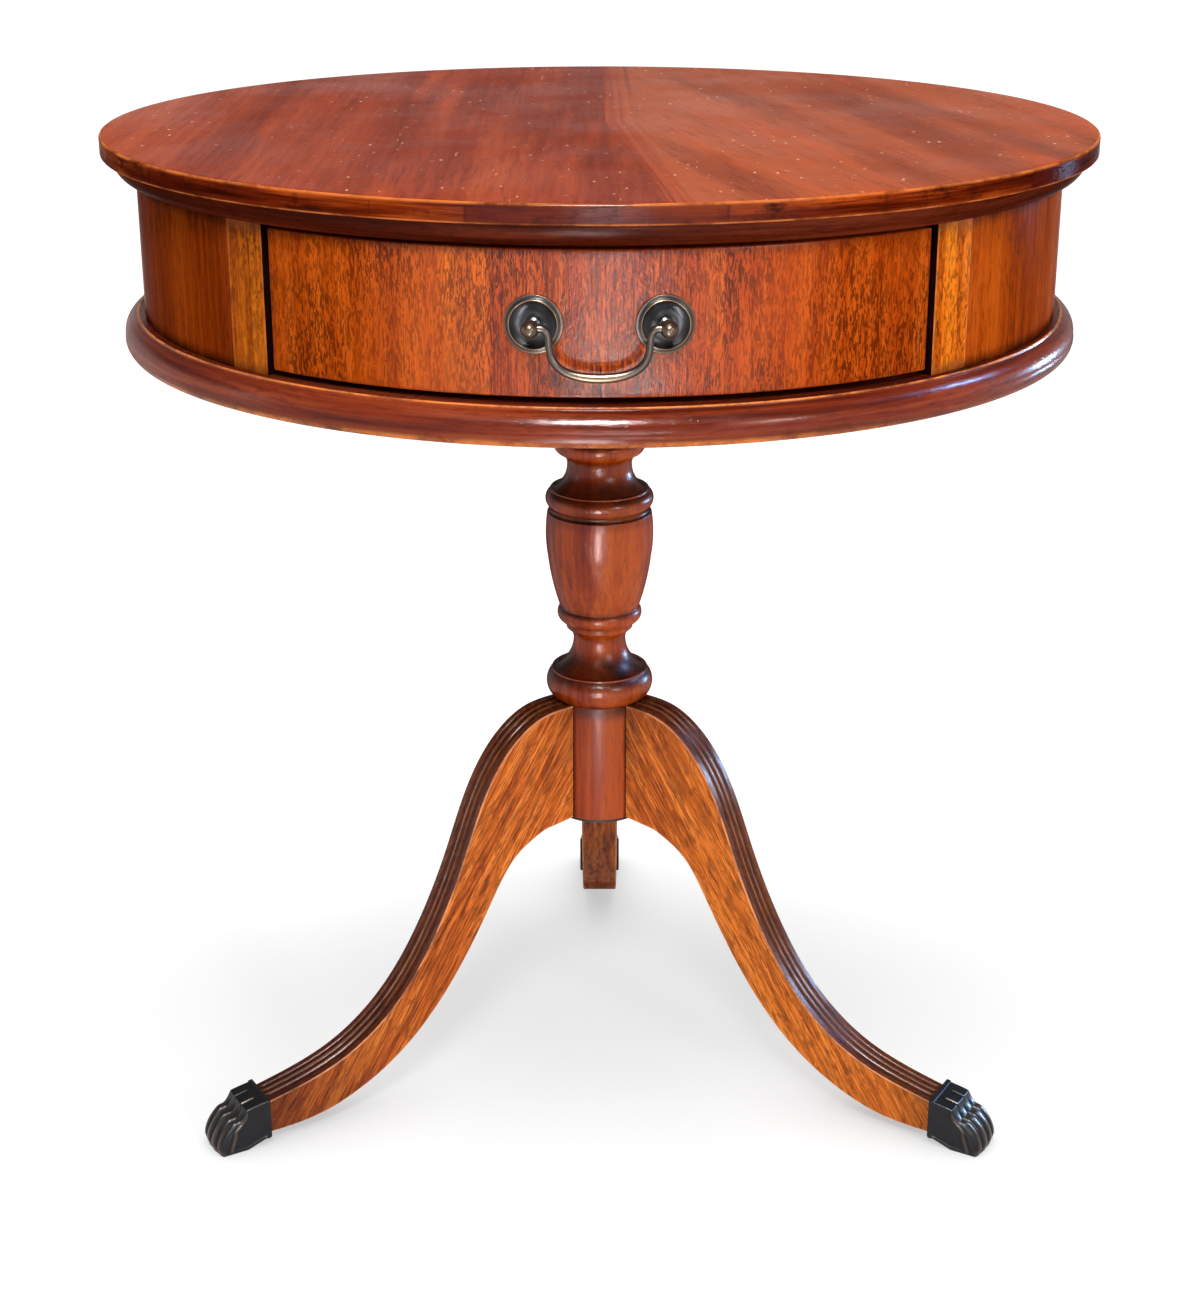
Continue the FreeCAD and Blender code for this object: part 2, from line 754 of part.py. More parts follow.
def claw(holes):
    """Cast paw along +X: collar, box socket for the leg's tenon, step, and toes cut by grooves.

    Only the toes stand on the floor: behind them the underside rises to the collar.
    """
    rows = [(V(leg_reach, 0, claw_height),)]
    for row in claw_outline_shares:
        rows.append(tuple(V(leg_reach + out * claw_length, 0, up * claw_height) for out, up in row))
    rows.append((V(leg_reach + claw_sole_share * claw_length, 0, 0),))
    face = Part.Face(outline_wire(V(leg_reach, 0, claw_heel_lift), rows))
    face.translate(V(0, -claw_width / 2, 0))
    blank = face.extrude(V(0, claw_width, 0))
    nose = Part.makeCylinder(claw_nose_radius, claw_height,
                             V(leg_reach + claw_length - claw_nose_radius, 0, 0))
    solid = blank.common(nose)
    inside = blank.copy()
    inside.translate(V(-toe_groove_depth, 0, -toe_groove_depth))
    for index in range(toe_groove_count):
        middle = (index - (toe_groove_count - 1) / 2) * toe_groove_pitch
        slab = box(leg_reach + claw_step_share * claw_length, leg_reach + claw_length + overrun,
                   middle - toe_groove_width / 2, middle + toe_groove_width / 2, 0, claw_height)
        solid = solid.cut(slab.cut(inside))
    half = claw_width / 2 + claw_collar_proud
    collar = box(leg_reach, leg_reach + claw_collar_width, -half, half, claw_heel_lift, claw_height)
    pocket = box(leg_reach - overrun, leg_reach + toe_tenon_length + fit_clearance,
                 -toe_tenon_width / 2 - fit_clearance, toe_tenon_width / 2 + fit_clearance,
                 toe_tenon_lift, toe_tenon_lift + toe_tenon_height)
    return drill(solid.fuse(collar).removeSplitter().cut(pocket), holes)


def claw_screw():
    """Screw up through the sole into the leg's tenon, its head sunk, with its hole."""
    place = V(leg_reach + toe_tenon_length / 2, 0, claw_screw_seat)
    length = toe_tenon_lift - claw_screw_seat + claw_screw_grip
    screw = wood_screw(claw_screw_radius, length, claw_screw_head_radius, claw_screw_head_height)
    shank_hole = screw_hole(claw_screw_radius, length)
    head_hole = Part.makeCylinder(claw_screw_head_radius + fit_clearance, claw_screw_seat + overrun,
                                  V(0, 0, -claw_screw_seat - overrun))
    up = V(0, 0, 1)
    return aim(screw, place, up), [aim(shank_hole, place, up), aim(head_hole, place, up)]


def spider_arm():
    """One arm of the plate along +X: flat under the column, then bent down along the leg."""
    heel = leg_point(leg_heel_share)
    run = V(heel.x - shaft_radius, 0, heel.z - column_bottom)
    end = V(shaft_radius, 0, column_bottom) + run * spider_arm_share
    slope = math.atan2(run.z, run.x)
    under = V(math.sin(slope), 0, -math.cos(slope)) * spider_thickness
    bend = V(math.tan(slope / 2), 0, -1) * spider_thickness
    elbow = V(shaft_radius, 0, column_bottom)
    points = [V(0, 0, column_bottom), elbow, end, end + under, elbow + bend,
              V(0, 0, column_bottom - spider_thickness)]
    arm = prism(points, V(0, spider_arm_width, 0))
    arm.translate(V(0, -spider_arm_width / 2, 0))
    return arm


def spider_screw_places():
    """Seats of the plate's screws: one in the column's end and one square to each leg."""
    heel = leg_point(leg_heel_share)
    run = V(heel.x - shaft_radius, 0, heel.z - column_bottom)
    slope = math.atan2(run.z, run.x)
    into = V(-math.sin(slope), 0, math.cos(slope))
    seat = V(shaft_radius, 0, column_bottom) + run * (spider_arm_share / 2) - into * spider_thickness
    places = [(V(0, 0, column_bottom - spider_thickness), V(0, 0, 1))]
    for angle in leg_angles().values():
        way = FreeCAD.Rotation(V(0, 0, 1), angle)
        places.append((way.multVec(seat), way.multVec(into)))
    return places


def spider_plate(holes):
    plate = Part.makeCylinder(spider_hub_radius, spider_thickness,
                              V(0, 0, column_bottom - spider_thickness))
    for angle in leg_angles().values():
        plate = plate.fuse(turned(spider_arm(), angle))
    return drill(plate.removeSplitter(), holes)


def build_top_and_drum(nodes):
    """The fixed case: top, mouldings, wall, stiles, floor, and what the drawer runs in."""
    kicker_screws, kicker_holes = screw_set(kicker_screw_places(),
                                            top_under - kicker_under + top_screw_grip)
    runner_screws, runner_holes = screw_set(runner_screw_places(), guide_height + screw_grip)
    cleat_screws, cleat_holes = screw_set(cleat_screw_places(), cleat_thickness + screw_grip)
    nodes["top_board"] = drill(top_board(), kicker_holes)
    nodes["top_edge_band"] = top_edge_band()
    nodes["top_moulding"] = top_moulding()
    nodes["drum_wall"] = drum_wall()
    nodes["stile_right"] = stile()
    nodes["stile_left"] = mirrored(stile())
    nodes["glue_blocks_upper"] = glue_blocks(wall_top - block_height)
    nodes["glue_blocks_lower"] = glue_blocks(wall_bottom)
    nodes["base_moulding"] = base_moulding()
    nodes["drum_floor"] = drum_floor(runner_holes + cleat_holes)
    nodes["runner_right"] = runner(runner_holes)
    nodes["runner_left"] = drill(mirrored(runner([])), runner_holes)
    nodes["runner_screws"] = Part.makeCompound(runner_screws)
    nodes["kicker_right"] = kicker(kicker_holes)
    nodes["kicker_left"] = drill(mirrored(kicker([])), kicker_holes)
    nodes["kicker_screws"] = Part.makeCompound(kicker_screws)
    nodes["stop_right"] = drawer_stop()
    nodes["stop_left"] = mirrored(drawer_stop())
    nodes["column_cleat"] = column_cleat(cleat_holes)
    nodes["cleat_screws"] = Part.makeCompound(cleat_screws)


def build_base(nodes):
    """The column, the legs with their toe caps, and the plate that ties them together."""
    spider_screws, spider_holes = screw_set(spider_screw_places(), spider_thickness + screw_grip)
    nodes["column"] = column(spider_holes)
    nodes["spider_plate"] = spider_plate(spider_holes)
    nodes["spider_screws"] = Part.makeCompound(spider_screws)
    toe_screw, toe_holes = claw_screw()
    plain_leg = leg(toe_holes)
    plain_claw = claw(toe_holes)
    for name, angle in leg_angles().items():
        nodes["leg_" + name] = drill(turned(plain_leg, angle), spider_holes)
        nodes["claw_" + name] = turned(plain_claw, angle)
    nodes["claw_screws"] = Part.makeCompound([turned(toe_screw, angle) for angle in leg_angles().values()])


def build_drawer(nodes):
    """The drawer's box and its pull."""
    nails, nail_holes = bottom_nails()
    post_hole = Part.makeCylinder(post_radius + fit_clearance, front_thickness + 2 * overrun,
                                  V(0, 0, -front_thickness - overrun))
    nodes["drawer_front"] = drawer_front([on_front(post_hole, side) for side in (-1, 1)])
    nodes["drawer_side_right"] = drawer_side()
    nodes["drawer_side_left"] = mirrored(drawer_side())
    nodes["drawer_back"] = drawer_back(nail_holes)
    nodes["drawer_bottom"] = drawer_bottom(nail_holes)
    nodes["bottom_nails"] = Part.makeCompound(nails)
    for name, side in (("left", -1), ("right", 1)):
        nodes["rosette_" + name] = on_front(rosette(), side)
        nodes["post_" + name] = post(side)
    nodes["post_washers"] = Part.makeCompound([on_front(post_washer(), side) for side in (-1, 1)])
    nodes["post_nuts"] = Part.makeCompound([on_front(post_nut(), side) for side in (-1, 1)])
    nodes["bail"] = bail()


def main():
    nodes = {}
    build_top_and_drum(nodes)
    build_base(nodes)
    build_drawer(nodes)
    for name, shape in nodes.items():
        shape.exportStep(os.path.join("parts", name + ".step"))
    print(len(nodes), "nodes written")


main()
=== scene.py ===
# %% [markdown]
# # A drum table
# A drum table is a round veneered top on a shallow drum with a drawer, carried by a turned column on
# three sabre legs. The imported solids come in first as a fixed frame: they say where each piece sits and
# which body it moves with. Every surface that shows is then made again, finer, from arrays of points,
# and laid in the place of its solid.

# %% Load the frame
import json
import math
import bpy
import numpy as np
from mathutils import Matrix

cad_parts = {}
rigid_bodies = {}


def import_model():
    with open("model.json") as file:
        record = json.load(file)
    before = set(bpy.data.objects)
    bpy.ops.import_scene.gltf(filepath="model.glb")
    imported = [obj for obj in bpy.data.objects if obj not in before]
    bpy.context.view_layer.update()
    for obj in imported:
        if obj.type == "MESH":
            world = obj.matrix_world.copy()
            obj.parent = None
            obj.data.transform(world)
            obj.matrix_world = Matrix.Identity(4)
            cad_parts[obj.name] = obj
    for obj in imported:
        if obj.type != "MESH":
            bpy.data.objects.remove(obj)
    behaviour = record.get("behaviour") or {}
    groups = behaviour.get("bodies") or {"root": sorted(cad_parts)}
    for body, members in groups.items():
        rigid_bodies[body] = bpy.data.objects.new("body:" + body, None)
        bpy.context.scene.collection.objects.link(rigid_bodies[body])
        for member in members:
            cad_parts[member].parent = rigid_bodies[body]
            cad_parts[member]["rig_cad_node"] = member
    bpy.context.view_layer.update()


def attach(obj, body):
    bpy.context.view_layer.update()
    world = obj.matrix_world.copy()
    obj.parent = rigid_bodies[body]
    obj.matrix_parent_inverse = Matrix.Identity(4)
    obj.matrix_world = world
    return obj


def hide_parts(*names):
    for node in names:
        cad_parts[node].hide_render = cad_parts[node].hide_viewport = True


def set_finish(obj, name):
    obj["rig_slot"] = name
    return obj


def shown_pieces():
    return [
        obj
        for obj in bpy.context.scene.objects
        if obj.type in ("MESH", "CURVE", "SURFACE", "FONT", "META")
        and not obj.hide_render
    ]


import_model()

# %% [markdown]
# ## From a grid of points to a piece
# Most pieces of a table are a section carried along a line: round the column's axis, along a leg, round
# the drum. Such a surface is a grid, so one helper can turn any grid into a mesh. It joins neighbours
# into four-sided faces, closes open ends with a fan, and measures the enclosed volume: if that comes out
# negative, the faces point inwards and are turned over. Facts that the finishes need, such as which way
# the grain runs or where an edge is worn, are stored on the points as attributes.

# %% Grid to mesh
MM = 0.001


def cells(rows, cols, wrap_rows):
    """Corner numbers of each cell: a point, the next one across, and the two beside them one row on."""
    i = np.arange(rows if wrap_rows else rows - 1)[:, None]
    j = np.arange(cols)[None, :]
    here, after = i * cols, (i + 1) % rows * cols
    beside = (j + 1) % cols
    return np.stack([here + j, here + beside, after + beside, after + j], -1).reshape(-1, 4)


def enclosed(points, faces):
    """Volume under a closed skin: the sum of the signed tetrahedra from the origin to each triangle."""
    a, b, c = (points[faces[:, k]] for k in range(3))
    return np.einsum("ij,ij->i", a, np.cross(b, c)).sum() / 6


def make_mesh(name, grid, fields, wrap_rows=False, crease=38):
    """Grid of points in millimetres, closed across its columns; rows either wrap or end in fans."""
    rows, cols = grid.shape[:2]
    points = grid.reshape(-1, 3)
    values = {key: np.asarray(value, float).reshape(rows * cols, -1) for key, value in fields.items()}
    quads = cells(rows, cols, wrap_rows)
    triangles = np.zeros((0, 3), int)
    for end in () if wrap_rows else (0, rows - 1):
        rim = end * cols + np.arange(cols)
        ordered = rim if end else rim[::-1]
        fan = np.stack([ordered, np.roll(ordered, -1), np.full(cols, len(points))], -1)
        triangles = np.vstack([triangles, fan])
        points = np.vstack([points, points[rim].mean(0)])
        values = {key: np.vstack([value, value[rim].mean(0)]) for key, value in values.items()}
    solid = np.vstack([quads[:, [0, 1, 2]], quads[:, [0, 2, 3]], triangles])
    if enclosed(points, solid) < 0:
        quads, triangles = quads[:, ::-1], triangles[:, ::-1]
    mesh = bpy.data.meshes.new(name)
    mesh.from_pydata((points * MM).tolist(), [], quads.tolist() + triangles.tolist())
    mesh.shade_smooth()
    mesh.set_sharp_from_angle(angle=math.radians(crease))
    for key, value in values.items():
        vector = value.shape[1] == 3
        layer = mesh.attributes.new(key, "FLOAT_VECTOR" if vector else "FLOAT", "POINT")
        layer.data.foreach_set("vector" if vector else "value", value.astype(np.float32).ravel())
    return mesh


def into_scene(name, data):
    """Make an object of a mesh, lamp or camera and link it into the scene."""
    item = bpy.data.objects.new(name, data)
    bpy.context.scene.collection.objects.link(item)
    return item


def add_piece(name, grid, fields, body, slot_name, *replaced, **mesh_settings):
    """Make a grid a piece of the scene that rides on a body and stands for the named solids."""
    mesh = make_mesh(name, grid, fields, **mesh_settings)
    piece = into_scene(name, mesh)
    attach(piece, body)
    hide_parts(*replaced)
    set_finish(piece, slot_name)
    print(name, "has", len(mesh.polygons), "faces")


# %% [markdown]
# ## Lines for the sections
# A moulding's section is drawn as a turner would: straight runs, and arcs through a middle point. The
# line is then walked in small even steps and averaged over a fraction of a millimetre, which rounds each
# corner as sanding and years of dusting do. Comparing the line with a more heavily averaged copy of
# itself shows what stands proud, where polish wears through, and what lies in a hollow, where dirt and
# old wax stay and where shade is painted in as well. Points are kept closer together where the line
# bends.

# %% Outline helpers
FINE_STEP = 0.08


def arc(a, b, c, step):
    """Circle through three points: its centre is where two perpendicular bisectors meet."""
    ab, ac = b - a, c - a
    twice = 2 * (ab[0] * ac[1] - ab[1] * ac[0])
    near, far = ab @ ab, ac @ ac
    centre = a + np.array([ac[1] * near - ab[1] * far, ab[0] * far - ac[0] * near]) / twice
    first, last = (math.atan2(p[1] - centre[1], p[0] - centre[0]) for p in (a, c))
    sweep = (last - first) % math.tau if twice > 0 else -((first - last) % math.tau)
    radius = np.linalg.norm(a - centre)
    angles = first + sweep * np.linspace(0, 1, max(int(abs(sweep) * radius / step), 4))
    return centre + radius * np.stack([np.cos(angles), np.sin(angles)], -1)


def even(points, step):
    """The same line in even steps: distance along it is found, and places are read off at that distance."""
    along = np.r_[0, np.cumsum(np.linalg.norm(np.diff(points, axis=0), axis=1))]
    places = np.linspace(0, along[-1], int(along[-1] / step) + 2)
    return np.stack([np.interp(places, along, points[:, k]) for k in range(points.shape[1])], -1)


def draw(start, rows, step=FINE_STEP):
    """Walk rows of a section: one point is a straight run to it, two are an arc through the first."""
    line = [np.array([start], float)]
    for row in rows:
        here = line[-1][-1]
        stops = [np.array(p, float) for p in row]
        line.append(np.array([here, *stops]) if len(stops) == 1 else arc(here, *stops, step))
    return even(np.vstack(line), step)


def soften(points, reach, step=FINE_STEP):
    """Average along the line with bell-shaped weights; the ends stay where they are."""
    count = min(max(int(3 * reach / step), 1), len(points) - 1)
    weights = np.exp(-0.5 * (np.arange(-count, count + 1) * step / reach) ** 2)
    weights /= weights.sum()
    before = 2 * points[0] - points[count:0:-1]
    after = 2 * points[-1] - points[-2:-count - 2:-1]
    padded = np.vstack([before, points, after])
    return np.stack([np.convolve(padded[:, k], weights, "valid") for k in range(points.shape[1])], -1)


def smooth_step(low, high, value):
    """With t from 0 at low to 1 at high, three t squared less two t cubed; low may be the larger."""
    t = np.clip((value - low) / (high - low), 0, 1)
    return t * t * (3 - 2 * t)


def bell(value, middle, width):
    """One at the middle, falling off as exp of minus the squared distance in widths."""
    return np.exp(-((value - middle) / width) ** 2)


def proud(points, reach):
    """Height of each point over the averaged line, on the side to the right of the walk."""
    tangent = np.gradient(soften(points, 0.4), axis=0)
    normal = np.stack([tangent[:, 1], -tangent[:, 0]], -1)
    normal /= np.linalg.norm(normal, axis=1, keepdims=True) + 1e-9
    return np.einsum("ij,ij->i", points - soften(points, reach), normal)


def section(start, rows, rounding=0.35, widest=3.0, bend=9.0, worn=0.10, cavity=5.0):
    """Rounded section with its wear, and grime and painted shade in hollows, thinned to steps of at most
    widest or bend degrees.
    """
    line = soften(draw(start, rows), rounding)
    wear = smooth_step(0.3 * worn, 1.6 * worn, proud(line, 0.9))
    # Hollows are darkened: grime and painted shade together.
    dirt = smooth_step(0.15, 1.8, -proud(line, cavity))
    tangent = np.gradient(line, axis=0)
    turn = np.abs(np.gradient(np.unwrap(np.arctan2(tangent[:, 1], tangent[:, 0]))))
    pace = np.cumsum(np.linalg.norm(tangent, axis=1) / widest + turn / math.radians(bend))
    places = np.linspace(pace[0], pace[-1], int(pace[-1]) + 2)
    along = np.cumsum(np.linalg.norm(tangent, axis=1))
    rows_out = np.column_stack([line, wear, dirt, along])
    return np.stack([np.interp(places, pace, rows_out[:, k]) for k in range(5)], -1)


# %% [markdown]
# ## Turned and bent pieces
# Carrying a section round the upright axis gives every ring on this table. Angles are counted from the
# middle of the drawer. The first and last stations at the back stand a hair apart, so the grain has one
# narrow joint there, as a ring glued up from strips has.

# %% Carry a section round
SEAM = 0.0004


def round_angles(count):
    """Angles from one side of the joint at the back round to its other side."""
    return np.linspace(-math.pi + SEAM, math.pi - SEAM, count)


def full_turn(count):
    """Even angles of a closed circle; the last one stops a step short of the first."""
    return np.linspace(0, math.tau, count + 1)[:-1]


def carried_round(line, angles):
    """x = r sin a, y = -r cos a, z as drawn: rows follow the section and columns follow the angle."""
    r, z = line[:, :1], line[:, 1:2]
    x, y = r * np.sin(angles), -r * np.cos(angles)
    return np.stack([x, y, np.broadcast_to(z, x.shape)], -1)


def ring_fields(line, angles, radius):
    """Grain runs round the ring: across is the way along the section, along is radius times angle."""
    shape = (len(line), len(angles))
    wear, dirt, across = (np.broadcast_to(line[:, k:k + 1], shape) for k in (2, 3, 4))
    along = np.broadcast_to(radius * angles, shape)
    return {"grain": np.stack([across, np.zeros(shape), along], -1) * MM, "wear": wear, "dirt": dirt}


# %% [markdown]
# ## The top
# The top is a veneered disc with a lipping of short veneer strips bent round its edge. The disc reaches
# to the rounded arris, where the polish has worn to pale wood, and the lipping carries on from there.

# %% Top and edge band
drum_radius = 319.2
top_height, top_under, top_radius = 724.0, 711.6, 342.0
arris, hub, band_inner, band_lap = 1.5, 4.0, 335.0, 2.0
disc_radius = top_radius - arris

disc_line = section((hub, top_under), [
    ((disc_radius, top_under),), ((disc_radius, top_height),), ((hub, top_height),)], rounding=0.1, widest=12)
disc = carried_round(disc_line, round_angles(360))
plain = np.zeros(disc.shape[:2])
add_piece("tabletop", disc, {"grain": disc[..., [0, 2, 1]] * MM, "wear": plain, "dirt": plain},
          "table", "top_veneer", "top_board")

bend = arris * (1 - math.sqrt(0.5))
band_line = section((band_inner, top_under), [
    ((top_radius - 0.5, top_under),), ((top_radius, top_under + 0.7),), ((top_radius, top_height - arris),),
    ((top_radius - bend, top_height - bend), (disc_radius, top_height)),
    ((disc_radius - 0.02, top_under + band_lap),), ((band_inner, top_under + band_lap),),
    ((band_inner, top_under),)], rounding=0.16, widest=1.0, worn=0.2)[:-1]
angles = round_angles(720)
add_piece("edge_band", carried_round(band_line, angles), ring_fields(band_line, angles, top_radius),
          "table", "edge_veneer", "top_edge_band", wrap_rows=True)

# %% [markdown]
# ## Mouldings above and below the drum
# A dark ovolo fills the corner under the top. Below the drum a wider ring has a flat ledge with a worn
# lip and then one broad rounded nose. Their sections repeat the sizes of the solids, with softer corners.

# %% The two mouldings
wall_high, ring_inner = 697.0, 300.0
upper_line = section((ring_inner, wall_high), [
    ((320.6, wall_high),), ((331.8, 701.96), (334.6, top_under)), ((ring_inner, top_under),),
    ((ring_inner, wall_high),)], rounding=0.3, widest=1.2)[:-1]
angles = round_angles(480)
add_piece("upper_moulding", carried_round(upper_line, angles), ring_fields(upper_line, angles, 325),
          "table", "moulding_wood", "top_moulding", wrap_rows=True)

ledge, nose_reach, base_top, base_drop = 324.6, 8.8, 603.0, 23.5
base_under, base_inner, rebate = base_top - base_drop, 284.0, 585.0


def base_point(out, down):
    """A point of the section as shares of the nose's reach and of the drop from the top."""
    return (ledge + out * nose_reach, base_top - down * base_drop)


base_line = section((base_inner, base_under), [
    (base_point(0.42, 1.0),), (base_point(0.70, 0.97),), (base_point(0.96, 0.84), base_point(1.0, 0.60)),
    (base_point(0.78, 0.28), base_point(0.02, 0.08)), (base_point(0.0, 0.0),), ((ring_inner, base_top),),
    ((ring_inner, rebate),), ((base_inner, rebate),), ((base_inner, base_under),)],
    rounding=0.35, widest=1.2)[:-1]
fields = ring_fields(base_line, angles, 330)
grid = carried_round(base_line, angles)
# Knocks wear the lower front edge pale; the moulding's worn colour is bright, partly a painted highlight
# there.
knocks = smooth_step(1.1, 0.5, np.abs(angles + 0.35)) * smooth_step(6.0, 1.5, grid[..., 2] - base_under)
outside = grid[..., 0] ** 2 + grid[..., 1] ** 2 > 325.0 ** 2
to_lip, above = base_line[:, :1] - ledge, base_line[:, 1:2] - base_top
lip = smooth_step(1.1, 0.3, np.abs(to_lip)) * smooth_step(-1.3, -0.4, above)
fields["wear"] = np.maximum(np.maximum(fields["wear"], knocks * outside), lip)
# The ledge inside the lip is darkened: painted shade at the foot of the drum wall.
fields["dirt"] = np.maximum(fields["dirt"], 0.6 * smooth_step(-1.0, -1.8, to_lip) * (above > -0.5))
add_piece("lower_moulding", grid, fields, "table", "moulding_wood", "base_moulding", wrap_rows=True)

# %% [markdown]
# ## Drum wall, stiles and drawer front
# These are slabs bent to the drum's curve. A slab's section is a rectangle with rounded corners; it is
# carried along the curve and shrinks at each end by the same rounding, so all its edges are eased. The
# grain stands upright, as veneer on a drum is usually laid.

# %% Bent slabs
def rounded_loop(half_out, half_up, radius, per_corner=5, per_side=14):
    """Points round a rectangle whose corners are quarter circles, in order, as (out, up)."""
    loop = []
    for k, (sx, sy) in enumerate(((1, 1), (-1, 1), (-1, -1), (1, -1))):
        turn = math.radians(90 * k) + np.linspace(0, math.pi / 2, per_corner)
        corner = np.array([sx * (half_out - radius), sy * (half_up - radius)])
        loop.append(corner + radius * np.stack([np.cos(turn), np.sin(turn)], -1))
    points = np.vstack(loop + [loop[0][:1]])
    gaps = np.linalg.norm(np.diff(points, axis=0), axis=1)
    spots = [np.linspace(0, 1, per_side if gap > 3 * radius else 2)[:-1] for gap in gaps]
    return np.vstack([a + np.outer(s, b - a) for a, b, s in zip(points[:-1], points[1:], spots)])


def bent_slab(inner, outer, low, high, start, stop, ease, stations, per_side=14):
    """Rounded rectangle carried from one angle to another, drawn in at the ends by a quarter circle."""
    ends = ease * (1 - np.cos(np.linspace(0, math.pi / 2, 5)))
    run = np.deg2rad(np.linspace(start, stop, stations)) * outer
    run = np.sort(np.r_[run[0] + ends, run[1:-1], run[-1] - ends[::-1]])
    gap = np.minimum(run - run[0], run[-1] - run)
    inset = ease - np.sqrt(np.clip(ease ** 2 - np.clip(ease - gap, 0, ease) ** 2, 0, None))
    loop = rounded_loop((outer - inner) / 2, (high - low) / 2, ease, per_side=per_side)
    size = np.abs(loop).max(0)
    out = loop[None, :, 0] * (1 - inset[:, None] / size[0])
    up = loop[None, :, 1] * (1 - inset[:, None] / size[1])
    r, z = out + (inner + outer) / 2, up + (low + high) / 2
    turn = (run / outer)[:, None]
    grid = np.stack([r * np.sin(turn), -r * np.cos(turn), z], -1)
    grain = np.stack([np.broadcast_to(run[:, None], r.shape), r, z], -1) * MM
    near_edge = np.minimum(np.minimum(z - low, high - z), gap[:, None])
    face = smooth_step(outer - 3, outer - 1, r)
    wear = smooth_step(2.2, 0.0, near_edge) * face
    # Faces set back from the outer face, and the very ends, are painted dark: painted shade in the gaps round
    # the drawer and stiles.
    dirt = 2.2 * np.maximum(smooth_step(outer - 0.4, outer - 1.6, r), gap[:, None] < 0.1)
    return grid, {"grain": grain, "wear": wear, "dirt": dirt}


wall_low, wall_inner, front_inner = base_top, 305.2, 297.2
stile_near, stile_far, front_angle = 39.6, 45.4, 38.7


def painted_shade_at_ends(z, low_reach, high_reach):
    """Painted shade that fades upwards from the lower ring and downwards from the upper one."""
    return smooth_step(low_reach, 0.0, z - wall_low) + smooth_step(high_reach, 0.0, wall_high - z)


grid, fields = bent_slab(wall_inner, drum_radius, wall_low, wall_high, stile_far, 360 - stile_far, 0.5, 300)
# The drum wall gets that painted shade under the upper moulding and along the ledge, and no wear.
fields["dirt"], fields["wear"] = painted_shade_at_ends(grid[..., 2], 7.0, 6.0), 0 * fields["wear"]
add_piece("drum_shell", grid, fields, "table", "drum_veneer", "drum_wall")

for side, name in ((1, "right"), (-1, "left")):
    spread = sorted((side * stile_near, side * stile_far))
    grid, fields = bent_slab(front_inner, drum_radius + 0.5, wall_low, wall_high, *spread, 0.5, 26)
    # The stiles get the same painted shade at the rings.
    fields["dirt"] = np.maximum(fields["dirt"], painted_shade_at_ends(grid[..., 2], 4.0, 5.0))
    add_piece("stile_post_" + name, grid, fields, "table", "stile_wood", "stile_" + name)

front_low, front_high = 607.2, 694.4
grid, fields = bent_slab(front_inner, drum_radius, front_low, front_high, -front_angle, front_angle,
                         1.1, 130, per_side=34)
# The drawer front keeps only a trace of that painted shade on its sides.
fields["dirt"] = 0.12 * fields["dirt"]
add_piece("drawer_face", grid, fields, "drawer", "drawer_veneer", "drawer_front")

# %% [markdown]
# ## The turned column
# The column is turned from one piece: a plain shaft between the legs, a torus, a neck, a vase between
# rings, and a flared top. Its section lists the arcs of the lathe work as shares of its length and of
# its widest radius.

# %% Column
shoulder, column_foot, cleat_under = 297.0, 205.5, 561.0
column_radius, shaft_radius, column_core = 40.0, 35.5, 3.0
leg_half = 15.0
leg_directions = {"rear": 90.0, "left": 210.0, "right": 330.0}
turnings = (
    ((0.036, 1.000), (0.080, 0.900)), ((0.085, 0.900),), ((0.085, 0.825),), ((0.123, 0.575), (0.165, 0.490)),
    ((0.189, 0.515), (0.205, 0.620)), ((0.223, 0.625),), ((0.223, 0.660),), ((0.246, 0.788), (0.269, 0.738)),
    ((0.337, 0.868), (0.417, 0.960)), ((0.485, 0.998), (0.549, 0.965)), ((0.557, 0.915), (0.564, 0.930)),
    ((0.587, 1.000), (0.612, 0.912)), ((0.617, 0.912),), ((0.617, 0.850),), ((0.646, 0.660), (0.681, 0.598)),
    ((0.703, 0.625), (0.716, 0.725)), ((0.742, 0.845), (0.769, 0.725)), ((0.777, 0.675),), ((0.920, 0.675),),
    ((0.945, 0.760), (0.966, 1.000)), ((1.000, 1.000),))
turned_length = cleat_under - shoulder
turned_rows = [tuple((out * column_radius, shoulder + up * turned_length) for up, out in row)
               for row in turnings]
shaft_show = shaft_radius - 0.9
column_line = section((column_core, column_foot), [
    ((shaft_show, column_foot),), ((shaft_show, shoulder),), *turned_rows, ((column_core, cleat_under),)],
    rounding=0.4, widest=3.0, bend=6.0, cavity=4.0)
angles = full_turn(144)
grid = carried_round(column_line, angles)
fields = ring_fields(column_line, angles, 1)
fields["grain"] = grid * MM
x, y, z = np.moveaxis(grid, -1, 0)
# Painted shade, added to the darkened hollows: under the torus and on faces that look upwards.
shade_under_torus = smooth_step(14.0, 1.0, shoulder - z) * (z < shoulder + 1)
walk = np.gradient(column_line[:, :2], axis=0)
upward_shade = smooth_step(0.05, 0.65, -walk[:, :1] / np.hypot(walk[:, :1], walk[:, 1:]))
dirt = np.maximum(fields["dirt"], 0.8 * np.maximum(shade_under_torus, upward_shade))
# Painted shade on the shaft in the narrow gap beside each leg.
for direction in np.deg2rad(list(leg_directions.values())):
    toward = x * math.cos(direction) + y * math.sin(direction)
    beside = np.abs(y * math.cos(direction) - x * math.sin(direction))
    shade_beside_leg = smooth_step(leg_half + 1.6, leg_half + 0.2, beside) * (toward > 0) * (z < shoulder)
    dirt = np.maximum(dirt, shade_beside_leg)
fields["dirt"] = dirt
add_piece("turned_column", grid, fields, "table", "column_wood", "column")

